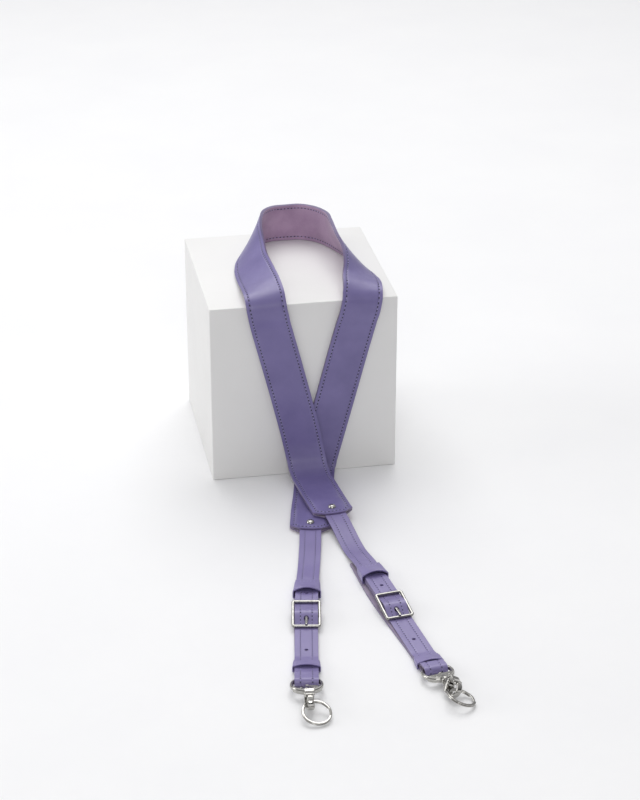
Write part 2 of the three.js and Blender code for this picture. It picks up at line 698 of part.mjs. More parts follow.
// A flat ring with softened edges, lying in X and Y about the origin.
function flatRing(diameter, band, height, softening, sides) {
  const outside = diameter / 2;
  const inside = outside - band;
  const half = height / 2;
  const profile = [
    [inside, softening - half],
    [inside + softening, -half],
    [outside - softening, -half],
    [outside, softening - half],
    [outside, half - softening],
    [outside - softening, half],
    [inside + softening, half],
    [inside, half - softening],
    [inside, softening - half],
  ].map(([radius, z]) => new THREE.Vector2(radius, z));
  return new THREE.LatheGeometry(profile, sides).rotateX(Math.PI / 2);
}

const eyeBase = eyeDiameter / 2 - eyeBaseDepth;
const bossStart = eyeDiameter / 2 - 1;
const bossEnd = bossStart + bossLength;
const shoulder = bossEnd + clearance; // where the hook starts
const fork = shoulder + collarLength;
const bend = fork + hookReach; // middle of the hook's bend
const pivot = { x: fork + gatePinSetback, z: gatePinHeight };
const bodyEnd = fork + forkLength;

// The eye: a ring, filled where the shank goes through it, with a boss on +X.
function eyeSolid() {
  const ring = flatRing(eyeDiameter, eyeBand, eyeHeight, eyeBand * 0.3, 32);
  const disc = rod(eyeDiameter - eyeBand * 0.4, eyeBaseHeight, "z", 0, 0, 0, 32);
  const half = box(eyeDiameter, eyeDiameter, eyeDiameter, eyeBase + eyeDiameter / 2, 0, 0);
  const base = toGeometry(toSolid(disc).intersect(toSolid(half)));
  const boss = rod(bossDiameter, bossLength, "x", bossStart + bossLength / 2, 0, 0);
  const boreLength = 2 * (bossEnd - eyeBase);
  const bore = rod(shankDiameter + 3 * clearance, boreLength, "x", eyeBase + boreLength / 4, 0, 0);
  return cut(join(ring, base, boss), bore);
}

// The hook: a headed shank that turns in the boss, a forked body and an open bend.
function hookSolid() {
  const headEnd = eyeBase - 2 * clearance;
  const head = rod(shankHeadDiameter, shankHeadLength, "x", headEnd - shankHeadLength / 2, 0, 0);
  const shankStart = headEnd - shankHeadLength / 2;
  const shankLength = shoulder + 1 - shankStart;
  const shank = rod(shankDiameter, shankLength, "x", shankStart + shankLength / 2, 0, 0);
  const collar = rod(collarDiameter, collarLength + 1, "x", shoulder + (collarLength + 1) / 2, 0, 0);
  const body = sideExtrusion(
    new THREE.Shape([
      new THREE.Vector2(fork, -3.2),
      new THREE.Vector2(bodyEnd, -hookLoopRadius - hookPlate / 2),
      new THREE.Vector2(bodyEnd + 1.6, -hookLoopRadius + hookPlate / 2),
      new THREE.Vector2(bodyEnd - 0.4, 0),
      new THREE.Vector2(pivot.x + 1.6, pivot.z + 1.2),
      new THREE.Vector2(fork, pivot.z + 1.6),
    ]),
    hookBodyWidth,
  );
  const points = [[bodyEnd - 1, -hookLoopRadius], ...arc(bend, 0, hookLoopRadius, -90, noseAngle, 10)];
  const loop = strapSolid(points, hookPlate, hookWidth);
  const slotLength = 2 * forkLength;
  const slotFloor = gatePinHeight - gateWidth / 2;
  const slotHeight = 2 * hookLoopRadius;
  const slotX = fork + 0.4 + slotLength / 2;
  const slot = box(slotLength, gateWidth + 2 * clearance, slotHeight, slotX, 0, slotFloor + slotHeight / 2);
  const pinHole = rod(gatePinDiameter + 2 * clearance, 2 * hookBodyWidth, "y", pivot.x, 0, pivot.z, 12);
  return join(head, shank, cut(join(body, collar), slot, pinHole), loop);
}

// The gate turns on its pin in the fork and closes the bend. Its thumb plate lies on the outside.
function gateSolid() {
  const angle = THREE.MathUtils.degToRad(noseAngle);
  const noseX = bend + hookLoopRadius * Math.cos(angle);
  const noseZ = hookLoopRadius * Math.sin(angle);
  const tipX = noseX - hookPlate / 2 - clearance;
  const arm = strapSolid([[pivot.x, pivot.z], [tipX - 0.6, noseZ - 0.4]], gatePlate, gateWidth);
  const knuckle = rod(3.2, gateWidth, "y", pivot.x, 0, pivot.z, 12);
  const pin = rod(gatePinDiameter, hookBodyWidth, "y", pivot.x, 0, pivot.z, 12);
  const plateZ = pivot.z + 3.4;
  const plateEnd = tipX - 1.2;
  const plate = strapSolid(
    [[plateEnd - thumbLength, plateZ + 1.4], [plateEnd - thumbLength / 2, plateZ + 0.4], [plateEnd, plateZ]],
    gatePlate,
    hookBodyWidth,
  );
  const web = box(thumbLength * 0.4, gateWidth, 3, plateEnd - thumbLength * 0.25, 0, plateZ - 1.3);
  return join(arm, knuckle, pin, plate, web);
}

// A rivet stands through all layers of the band's end, with a domed cap and a flat back.
function rivetSolid(top, bottom) {
  const cap = rivetCapDiameter / 2;
  const post = rivetPostDiameter / 2;
  const capBase = top + clearance;
  const backTop = bottom - clearance;
  const dome = [0, 22, 45, 68, 90].map((degrees) => {
    const angle = THREE.MathUtils.degToRad(degrees);
    return new THREE.Vector2(cap * Math.cos(angle), capBase + 0.3 + (rivetCapHeight - 0.3) * Math.sin(angle));
  });
  dome[dome.length - 1].x = 0;
  const profile = [
    new THREE.Vector2(0, backTop - rivetBackHeight),
    new THREE.Vector2(cap * 0.85, backTop - rivetBackHeight),
    new THREE.Vector2(cap * 0.85, backTop),
    new THREE.Vector2(post, backTop),
    new THREE.Vector2(post, capBase),
    new THREE.Vector2(cap, capBase),
    ...dome,
  ];
  return new THREE.LatheGeometry(profile, 18).rotateX(Math.PI / 2);
}

function buildBand() {
  const holes = [rivetInset, route.length - rivetInset].map((along) => {
    const middle = bandPoint(along, 0, 0);
    const height = 4 * (legStack + insertStack);
    return rod(rivetPostDiameter + 2 * clearance, height, "z", middle.x, middle.y, middle.z);
  });
  const lining = bandLayer(clearance, clearance + liningThickness, false);
  const outer = bandLayer(outerLevel, outerLevel + outerThickness, true);
  addMesh(object, "band_lining", cut(lining, ...holes), mauveSuede);
  addMesh(object, "band_outer", cut(outer, ...holes), smoothLilac);
}

function buildStrand(strand, end) {
  const group = strandGroup(end);
  const name = (piece) => `${piece}_${strand.name}`;
  const rivetTop = end.height + outerLevel + insertStack + outerThickness;
  const rivet = addMesh(group, name("rivet"), rivetSolid(rivetTop, end.height + clearance), nickel);
  rivet.position.x = -rivetInset;
  addMesh(group, name("connector_strap"), connectorStrap(strand, end), smoothLilac);
  addMesh(group, name("holed_strap"), holedStrap(strand, prongSolid(strand, clearance)), smoothLilac);

  const half = strapThickness / 2 + clearance;
  const upperLow = levels.returned - half;
  const upper = keeperSolid(
    upperKeeperAt(strand),
    upperKeeperLength,
    upperLow,
    levels.tip + half,
    upperKeeperFlare,
  );
  addMesh(group, name("upper_keeper"), swayed(upper, strand), smoothLilac);
  const lowerLow = levels.keptBack - half;
  const lower = keeperSolid(
    lowerKeeperAt(strand),
    lowerKeeperLength,
    lowerLow,
    levels.keptFront + half,
    lowerKeeperFlare,
  );
  addMesh(group, name("lower_keeper"), swayed(lower, strand), smoothLilac);

  addMesh(group, name("buckle"), buckleFrame(strand), nickel).position.y = strand.sway;
  addMesh(group, name("prong"), prongSolid(strand, 0), nickel).position.y = strand.sway;
  buildSnap(strand, group, name);
}

// The eye, and on its swivel the hook, the gate and the split ring.
function buildSnap(strand, group, name) {
  const snap = new THREE.Group();
  const eye = eyePlace(strand);
  snap.position.set(eye.x, strand.sway, eye.z);
  snap.rotation.set(0, -eye.tilt, THREE.MathUtils.degToRad(strand.eyeTurn), "ZYX");
  group.add(snap);
  addMesh(snap, name("eye"), eyeSolid(), nickel);

  const swivel = new THREE.Group();
  swivel.rotation.x = THREE.MathUtils.degToRad(strand.hookRoll);
  snap.add(swivel);
  addMesh(swivel, name("hook"), hookSolid(), nickel);
  addMesh(swivel, name("gate"), gateSolid(), nickel);

  // The ring hangs in the hook's bend and leans down to the floor away from it.
  const turns = flatRing(ringDiameter, ringBand, ringHeight, ringBand * 0.2, 28);
  const ring = addMesh(group, name("split_ring"), turns, nickel);
  const radius = (ringDiameter - ringBand) / 2;
  const seat = (hookPlate + ringHeight) / 2 + 2 * clearance - hookLoopRadius + strand.ringLift;
  const held = new THREE.Vector3(bend - strand.ringSeat, 0, seat).applyEuler(swivel.rotation);
  held.applyEuler(snap.rotation).add(snap.position);
  const roll = THREE.MathUtils.degToRad(strand.ringRoll);
  const drop = (held.z - ringHeight / 2 - clearance) / radius;
  const lean = Math.asin((drop ** 2 - Math.sin(roll) ** 2) / (2 * drop + ringBand / radius));
  ring.rotation.set(roll, lean, snap.rotation.z + Math.asin(strand.ringShift / radius), "ZYX");
  ring.position.copy(held).add(new THREE.Vector3(radius, 0, 0).applyEuler(ring.rotation));
}

addMesh(object, "display_block", box(blockSide, blockSide, blockSide, 0, 0, blockSide / 2), whitePaint);
buildBand();
buildStrand(strands[0], bandEnd(route.length, strands[0].turn));
buildStrand(strands[1], bandEnd(0, strands[1].turn));

export default object;
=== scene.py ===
import math

import bpy
from mathutils import Matrix, Vector


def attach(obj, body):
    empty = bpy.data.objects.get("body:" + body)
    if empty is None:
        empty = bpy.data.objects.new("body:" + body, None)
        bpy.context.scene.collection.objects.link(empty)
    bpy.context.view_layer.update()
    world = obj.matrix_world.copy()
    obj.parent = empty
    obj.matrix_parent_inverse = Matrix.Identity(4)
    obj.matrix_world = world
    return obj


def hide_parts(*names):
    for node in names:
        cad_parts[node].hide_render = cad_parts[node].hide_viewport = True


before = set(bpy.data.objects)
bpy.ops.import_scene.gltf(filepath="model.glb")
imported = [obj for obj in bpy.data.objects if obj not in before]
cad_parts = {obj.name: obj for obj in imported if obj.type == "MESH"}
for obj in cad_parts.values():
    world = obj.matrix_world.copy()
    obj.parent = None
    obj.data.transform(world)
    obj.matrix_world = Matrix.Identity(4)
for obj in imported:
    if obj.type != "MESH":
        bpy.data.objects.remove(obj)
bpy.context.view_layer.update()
mm = 0.001
rootBody = "strap_and_block"
upward = Vector((0, 0, 1))


# working helpers

def pick(piece):
    bpy.ops.object.select_all(action="DESELECT")
    piece.select_set(True)
    bpy.context.view_layer.objects.active = piece


def newPrimitive(name):
    piece = bpy.context.object
    piece.name = name
    piece.data.name = name
    return piece


def joinAll(name, parts):
    pick(parts[0])
    for part in parts[1:]:
        part.select_set(True)
    bpy.ops.object.join()
    return newPrimitive(name)


def applyModifier(piece, kind, **settings):
    pick(piece)
    modifier = piece.modifiers.new(kind.title(), kind)
    for key, value in settings.items():
        setattr(modifier, key, value)
    bpy.ops.object.modifier_apply(modifier=modifier.name)


def layGrid(name, rows, columns, place):
    # a grid whose points are laid at place(row value, column value)
    lastRow, lastColumn = len(rows) - 1, len(columns) - 1
    bpy.ops.mesh.primitive_grid_add(x_subdivisions=lastRow, y_subdivisions=lastColumn, size=1)
    piece = newPrimitive(name)
    for vertex in piece.data.vertices:
        row = round((vertex.co.x + 0.5) * lastRow)
        column = round((vertex.co.y + 0.5) * lastColumn)
        vertex.co = place(rows[row], columns[column])
    return piece


def editAll(piece, *steps):
    # runs each step in edit mode with the whole mesh selected
    pick(piece)
    bpy.ops.object.mode_set(mode="EDIT")
    for step, settings in steps:
        bpy.ops.mesh.select_all(action="SELECT")
        step(**settings)
    bpy.ops.object.mode_set(mode="OBJECT")
    return piece


def keepBeyond(point, normal):
    # a step for editAll that cuts away what lies behind a plane
    return bpy.ops.mesh.bisect, {"plane_co": point, "plane_no": normal, "use_fill": True, "clear_inner": True}


def closeUp(piece):
    # merges the seam of a rolled-up grid and fills its open ends
    mesh = bpy.ops.mesh
    return editAll(piece, (mesh.remove_doubles, {"threshold": 0.002}), (mesh.fill_holes, {"sides": 0}),
                   (mesh.normals_make_consistent, {"inside": False}))


def softenEdges(piece, width, segments=3, angle=40):
    applyModifier(piece, "BEVEL", width=width, segments=segments, limit_method="ANGLE",
                  angle_limit=math.radians(angle))
    return piece


def combine(piece, other, operation="UNION"):
    applyModifier(piece, "BOOLEAN", object=other, operation=operation, solver="EXACT")
    bpy.data.objects.remove(other, do_unlink=True)
    return piece


def cutOut(piece, cutter):
    return combine(piece, cutter, "DIFFERENCE")


def rod(name, radius, start, end, sides=40, soft=0.0):
    # a round bar from one point to another, with softened rims
    start, end = Vector(start), Vector(end)
    bpy.ops.mesh.primitive_cylinder_add(vertices=sides, radius=radius, depth=(end - start).length)
    piece = newPrimitive(name)
    if soft:
        softenEdges(piece, soft)
    turn = (end - start).to_track_quat("Z", "Y").to_matrix().to_4x4()
    piece.data.transform(Matrix.Translation((start + end) / 2) @ turn)
    return piece


def plateFromOutline(name, outline, width, soft):
    # an outline of (x, z) points pulled out along Y about the middle, with softened edges
    bpy.ops.mesh.primitive_circle_add(vertices=len(outline), radius=1, fill_type="NGON")
    piece = newPrimitive(name)
    for vertex, (x, z) in zip(piece.data.vertices, outline):
        vertex.co = (x, -width / 2, z)
    mesh = bpy.ops.mesh
    editAll(piece, (mesh.extrude_region_move, {"TRANSFORM_OT_translate": {"value": (0, width, 0)}}),
            (mesh.normals_make_consistent, {"inside": False}))
    return softenEdges(piece, soft)


def finishPiece(piece, place, body, nodes, angle=35):
    piece.data.transform(place @ Matrix.Scale(mm, 4))
    pick(piece)
    bpy.ops.object.shade_smooth_by_angle(angle=math.radians(angle))
    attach(piece, body)
    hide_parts(*nodes)


def finishMetal(piece, place, body, node, metal):
    addMaterials(piece, metal)
    finishPiece(piece, place, body, [node])


def addMaterials(piece, *materials):
    piece.data.materials.clear()
    for material in materials:
        piece.data.materials.append(material)


def thicken(piece, thickness, face):
    # the back faces take the flesh side, toned darker as painted shade, and the rims take the edge paint
    addMaterials(piece, face, shadedFleshSide, edgePaint)
    applyModifier(piece, "SOLIDIFY", thickness=thickness, offset=-1, material_offset=1, material_offset_rim=2)


# lines and curves, in millimetres

def easeInOut(t):
    t = min(max(t, 0), 1)
    return t * t * (3 - 2 * t)


def smoothLine(stations, values):
    # a smooth line through the values that never runs past them
    last = len(values) - 1
    slopes = [(values[i + 1] - values[i]) / (stations[i + 1] - stations[i]) for i in range(last)]
    tangents = [slopes[0]]
    for i in range(1, last):
        if slopes[i - 1] * slopes[i] <= 0:
            tangents.append(0)
            continue
        before, after = stations[i] - stations[i - 1], stations[i + 1] - stations[i]
        weight = (2 * after + before) / slopes[i - 1] + (after + 2 * before) / slopes[i]
        tangents.append(3 * (before + after) / weight)
    tangents.append(slopes[-1])

    def at(x):
        i = 0
        while i < last - 1 and x > stations[i + 1]:
            i += 1
        width = stations[i + 1] - stations[i]
        t = (x - stations[i]) / width
        pull = width * tangents[i] * t * (1 - t) ** 2 + width * tangents[i + 1] * t * t * (t - 1)
        share = t * t * (3 - 2 * t)
        return values[i] * (1 - share) + values[i + 1] * share + pull
    return at


def follow(points, *stops):
    # goes on from the last point: straight to (x, z), or in a gentle slope to (x, z, steps)
    for x, z, *steps in stops:
        fromX, fromZ = points[-1]
        count = steps[0] if steps else 0
        for i in range(1, count):
            points.append((fromX + (x - fromX) * i / count, fromZ + (z - fromZ) * easeInOut(i / count)))
        points.append((x, z))


def arc(x, z, radius, start, end, steps):
    angles = [math.radians(start + (end - start) * i / steps) for i in range(steps + 1)]
    return [(x + radius * math.cos(a), z + radius * math.sin(a)) for a in angles]


def evenSteps(points, longest):
    # the same line with no step longer than the longest
    line = [Vector(points[0])]
    for point in points[1:]:
        start, end = line[-1], Vector(point)
        if (end - start).length < 0.02:
            continue
        parts = math.ceil((end - start).length / longest)
        line += [start.lerp(end, k / parts) for k in range(1, parts + 1)]
    return line


def walkLine(line, pitch, first):
    # (point, heading) at even distances along a line
    spots, wanted, walked = [], first, 0.0
    for start, end in zip(line, line[1:]):
        length = (end - start).length
        while wanted <= walked + length:
            spots.append((start.lerp(end, (wanted - walked) / length), (end - start) / length))
            wanted += pitch
        walked += length
    return spots


def mirrored(values):
    # values that fall to nought, and then the same below it
    return values + [-value for value in reversed(values[:-1])]


def headingsOf(line):
    last = len(line) - 1
    return [(line[min(i + 1, last)] - line[max(i - 1, 0)]).normalized() for i in range(last + 1)]


def distancesOf(points):
    # how far along the line each point lies
    walked = [0.0]
    for before, after in zip(points, points[1:]):
        walked.append(walked[-1] + (after - before).length)
    return walked


def roundedSection(width, height, power, steps):
    # a squarish round, as (sideways, up) points that end where they start
    points = []
    for i in range(steps + 1):
        a = 2 * math.pi * i / steps
        c, s = math.cos(a), math.sin(a)
        points.append((width / 2 * math.copysign(abs(c) ** (2 / power), c),
                       height / 2 * math.copysign(abs(s) ** (2 / power), s)))
    return points


def sweep(name, spots, section):
    # a section carried along spots of (point, sideways, up); sideways and up may be scaled
    piece = layGrid(name, spots, section, lambda spot, part: spot[0] + spot[1] * part[0] + spot[2] * part[1])
    return closeUp(piece)


def sideStrip(name, line, thickness, widthAt, soft, power):
    # a flat strip seen from the side, whose width may change on its way
    spots = []
    for i, (point, heading) in enumerate(zip(line, headingsOf(line))):
        up = Vector((-heading.y, 0, heading.x))
        spots.append((Vector((point.x, 0, point.y)), Vector((0, widthAt(i / (len(line) - 1)), 0)), up))
    piece = sweep(name, spots, roundedSection(1, thickness, power, 32))
    return softenEdges(piece, soft, 2, 60)


# camera and lights

cameraFacts = {"place": (-0.3222, -1.9110, 0.9967), "turn": 10.498, "pitch": 26.40, "lens": 96.93}
lightFacts = {
    "world": 0.8, "greys": ((0.0, 0.1), (0.4, 0.3), (0.68, 0.72)),
    "top": {"place": (0.1, 1.1, 2.3), "aim": (0, -0.1, 0), "size": 2.0, "power": 34.5},
    "left": {"place": (-2.5, 0.35, 0.8), "aim": (0, 0, 0.05), "size": 1.4, "power": 19},
    "front": {"place": (-0.5, -2.9, 1.5), "aim": (0, -0.2, 0.05), "size": 1.3, "power": 20},
}


def placeAimed(data, place, direction):
    thing = bpy.data.objects.new(data.name, data)
    thing.location = place
    thing.rotation_euler = direction.to_track_quat("-Z", "Y").to_euler()
    bpy.context.scene.collection.objects.link(thing)
    return thing


def setCamera():
    turn, pitch = math.radians(cameraFacts["turn"]), math.radians(cameraFacts["pitch"])
    forward = Vector((math.sin(turn) * math.cos(pitch), math.cos(turn) * math.cos(pitch), -math.sin(pitch)))
    data = bpy.data.cameras.new("photoCamera")
    data.lens = cameraFacts["lens"]
    data.sensor_width = 36
    bpy.context.scene.camera = placeAimed(data, cameraFacts["place"], forward)


def setLight(name):
    facts = lightFacts[name]
    data = bpy.data.lights.new(name + "Light", "AREA")
    data.size = facts["size"]
    data.energy = facts["power"]
    placeAimed(data, facts["place"], Vector(facts["aim"]) - Vector(facts["place"]))


def setWorld():
    world = bpy.data.worlds.new("studio")
    world.use_nodes = True
    nodes, link = world.node_tree.nodes, world.node_tree.links.new
    # bright overhead and grey towards the horizon, so that the metal has contrast
    direction = nodes.new("ShaderNodeTexCoord").outputs["Generated"]
    slant = nodes.new("ShaderNodeVectorMath")
    slant.operation = "DOT_PRODUCT"
    slant.inputs[1].default_value = (0, 0.28, 0.96)
    link(direction, slant.inputs[0])
    ramp = nodes.new("ShaderNodeValToRGB")
    elements = [*ramp.color_ramp.elements, ramp.color_ramp.elements.new(0.5)]
    for element, (position, grey) in zip(elements, lightFacts["greys"]):
        element.position = position
        element.color = (grey, grey, grey * 1.02, 1)
    link(slant.outputs["Value"], ramp.inputs["Fac"])
    link(ramp.outputs["Color"], nodes["Background"].inputs["Color"])
    nodes["Background"].inputs["Strength"].default_value = lightFacts["world"]
    bpy.context.scene.world = world
    bpy.context.scene.view_settings.view_transform = "Standard"


setCamera()
setWorld()
for lightName in ("top", "left", "front"):
    setLight(lightName)
print("camera and lights set")


# materials

def setInputs(inputs, values):
    for key, value in values.items():
        inputs[key].default_value = value


def startMaterial(name, roughness, metallic=0.0):
    material = bpy.data.materials.new(name)
    material.use_nodes = True
    nodes = material.node_tree.nodes
    shader = nodes["Principled BSDF"].inputs
    setInputs(shader, {"Roughness": roughness, "Metallic": metallic})
    return {"material": material, "nodes": nodes, "link": material.node_tree.links.new, "shader": shader,
            "place": nodes.new("ShaderNodeTexCoord").outputs["Object"]}


def addTexture(surface, kind, output, settings):
    texture = surface["nodes"].new(kind)
    setInputs(texture.inputs, settings)
    surface["link"](surface["place"], texture.inputs["Vector"])
    return texture.outputs[output]


def addNoise(surface, scale, detail, rough=0.55):
    settings = {"Scale": scale, "Detail": detail, "Roughness": rough}
    return addTexture(surface, "ShaderNodeTexNoise", "Fac", settings)


def addRamp(surface, factor, stops, target):
    # stops are two of (position, colour), and a colour may be one number
    ramp = surface["nodes"].new("ShaderNodeValToRGB")
    for element, (position, colour) in zip(ramp.color_ramp.elements, stops):
        element.position = position
        element.color = (*colour, 1) if isinstance(colour, tuple) else (colour, colour, colour, 1)
    surface["link"](factor, ramp.inputs["Fac"])
    surface["link"](ramp.outputs["Color"], target)


def vary(surface, name, scale, detail, *stops):
    addRamp(surface, addNoise(surface, scale, detail), stops, surface["shader"][name])


def addBump(surface, height, distance, strength):
    link, normal = surface["link"], surface["shader"]["Normal"]
    bump = surface["nodes"].new("ShaderNodeBump")
    setInputs(bump.inputs, {"Distance": distance, "Strength": strength})
    link(height, bump.inputs["Height"])
    if normal.is_linked:
        link(normal.links[0].from_socket, bump.inputs["Normal"])
    link(bump.outputs["Normal"], normal)


def makeLeather(name, dark, light, roughness):
    # smooth calf leather: fine pebble grain, faint clouding and a soft top coat
    surface = startMaterial(name, roughness)
    vary(surface, "Base Color", 38, 4, (0.32, dark), (0.68, light))
    vary(surface, "Roughness", 260, 3, (0.3, roughness - 0.06), (0.7, roughness + 0.1))
    setInputs(surface["shader"], {"Specular IOR Level": 0.5, "Coat Weight": 0.4, "Coat Roughness": 0.36})
    pebbles = addTexture(surface, "ShaderNodeTexVoronoi", "Distance", {"Scale": 1500})
    addBump(surface, pebbles, 0.00006, 0.55)
    addBump(surface, addNoise(surface, 330, 4), 0.00018, 0.35)
    return surface["material"]


def makeSuede(name, dark, light):
    # napped flesh side: short fuzz, blotches where the nap lies another way
    surface = startMaterial(name, 0.95)
    shader = surface["shader"]
    mix = surface["nodes"].new("ShaderNodeMix")
    mix.data_type = "RGBA"
    mix.inputs["Factor"].default_value = 0.45
    addRamp(surface, addNoise(surface, 55, 5), [(0.35, dark), (0.65, light)], mix.inputs["A"])
    addRamp(surface, addNoise(surface, 2400, 3, 0.7), [(0.3, dark), (0.7, light)], mix.inputs["B"])
    surface["link"](mix.outputs["Result"], shader["Base Color"])
    setInputs(shader, {"Specular IOR Level": 0.15, "Sheen Weight": 0.35, "Sheen Roughness": 0.55})
    addBump(surface, addNoise(surface, 2600, 4, 0.7), 0.00018, 0.8)
    return surface["material"]


def makeMetal(name, dark, light, roughness):
    # polished nickel plate: near mirror, with faint casting waves and rubbed marks
    surface = startMaterial(name, roughness, 1.0)
    vary(surface, "Base Color", 420, 4, (0.35, dark), (0.65, light))
    vary(surface, "Roughness", 900, 5, (0.35, roughness - 0.04), (0.75, roughness + 0.1))
    addBump(surface, addNoise(surface, 210, 2), 0.00012, 0.3)
    return surface["material"]


def makePaint(name, dark, light, roughness, grain):
    surface = startMaterial(name, roughness)
    vary(surface, "Base Color", 7, 4, (0.3, dark), (0.7, light))
    vary(surface, "Roughness", 90, 3, (0.3, roughness - 0.08), (0.7, roughness + 0.08))
    addBump(surface, addNoise(surface, grain, 3), 0.0001, 0.4)
    return surface["material"]


lilacLeather = makeLeather("lilacLeather", (0.15, 0.124, 0.305), (0.186, 0.156, 0.36), 0.38)
# a lighter copy of the lilac leather for the straps and keepers: painted light, for the brighter light on
# straps lying flat
litStrapLeather = makeLeather("litStrapLeather", (0.198, 0.164, 0.355), (0.238, 0.2, 0.41), 0.4)
edgePaint = makeLeather("edgePaint", (0.125, 0.095, 0.21), (0.18, 0.14, 0.275), 0.45)
mauveSuede = makeSuede("mauveSuede", (0.36, 0.235, 0.375), (0.55, 0.385, 0.55))
# the leathers' flesh side, darker and greyer than the suede lining: partly its own tone, partly painted shade
# for the gaps between the band's layers at its open ends
shadedFleshSide = makeSuede("shadedFleshSide", (0.25, 0.2, 0.3), (0.37, 0.31, 0.41))
threadLilac = makeLeather("threadLilac", (0.33, 0.29, 0.55), (0.42, 0.38, 0.64), 0.5)
# near-black dots of painted shade, standing for the shade inside the awl holes between stitches
paintedHoleShade = makeLeather("paintedHoleShade", (0.015, 0.011, 0.03), (0.024, 0.018, 0.045), 0.7)
nickelPlate = makeMetal("nickelPlate", (0.4, 0.39, 0.37), (0.52, 0.51, 0.485), 0.1)
# a darker copy of the nickel for the buckle frames: painted shade, standing for their dim reflections
shadedBuckleNickel = makeMetal("shadedBuckleNickel", (0.27, 0.265, 0.25), (0.38, 0.372, 0.355), 0.12)
whitePaint = makePaint("whitePaint", (0.8, 0.795, 0.785), (0.84, 0.835, 0.825), 0.55, 700)
floorPaint = makePaint("floorPaint", (0.86, 0.86, 0.87), (0.88, 0.88, 0.885), 0.6, 200)
print("materials made")


# floor and block

bpy.ops.mesh.primitive_plane_add(size=24)
floor = newPrimitive("floor")
addMaterials(floor, floorPaint)

blockFacts = {"side": 180, "softEdge": 1.1}
blockSide = blockFacts["side"]
bpy.ops.mesh.primitive_cube_add(size=blockSide, location=(0, 0, blockSide / 2))
block = newPrimitive("painted_block")
bpy.ops.object.transform_apply(location=True, rotation=False, scale=False)
softenEdges(block, blockFacts["softEdge"], 4)
addMaterials(block, whitePaint)
finishPiece(block, Matrix.Identity(4), rootBody, ["display_block"])
print("floor and block made")


# stitches: one is modelled, and copies are sewn along runs

def makeStitch(name, length, width, height, pitch):
    # a sunk thread, and a near-black dot of painted shade where the awl hole lies between it and the next one
    thread = (threadLilac, (length, width, height), (0, 0, 0))
    hole = (paintedHoleShade, (width * 2.4, width * 1.8, height * 0.8), (pitch / 2, 0, -height * 0.3))
    parts = []
    for material, size, place in (thread, hole):
        bpy.ops.mesh.primitive_uv_sphere_add(segments=6, ring_count=4, radius=0.5)
        part = newPrimitive(name)
        part.data.transform(Matrix.Scale(mm, 4) @ Matrix.Translation(place) @ Matrix.Diagonal((*size, 1)))
        addMaterials(part, material)
        parts.append(part)
    return joinAll(name, parts)


def sewRun(name, spots, facts, body):
    # spots are (point, heading, normal) in metres
    first = makeStitch(name, *facts["stitch"], facts["pitch"])
    copies = []
    for point, heading, normal in spots:
        side = normal.cross(heading).normalized()
        turn = Matrix((heading, side, heading.cross(side))).transposed().to_4x4()
        stitch = first.copy()
        stitch.data = first.data.copy()
        stitch.data.transform(Matrix.Translation(point) @ turn)
        bpy.context.scene.collection.objects.link(stitch)
        copies.append(stitch)
    bpy.data.objects.remove(first, do_unlink=True)
    run = joinAll(name, copies)
    bpy.ops.object.shade_smooth()
    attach(run, body)


# shoulder band

clearance = 0.3
bandFacts = {
    "width": 38, "outer": 1.5, "lining": 1.2, "cornerLength": 7, "cornerWidth": 8, "endBow": 1.4,
    "rivetInset": 10, "insertLength": 22, "insertMargin": 1.5, "strapWidth": 20, "strapThickness": 1.6,
    "seamInset": 3.5, "groove": 0.38, "grooveWidth": 0.7, "pitch": 3.6, "stitch": (1.9, 0.8, 0.55),
    "step": 2.4,
}

rivetFacts = {"radius": 3.65, "dome": 2.3, "rim": 0.35, "post": 1.3, "washer": 3.1, "hole": 1.6}

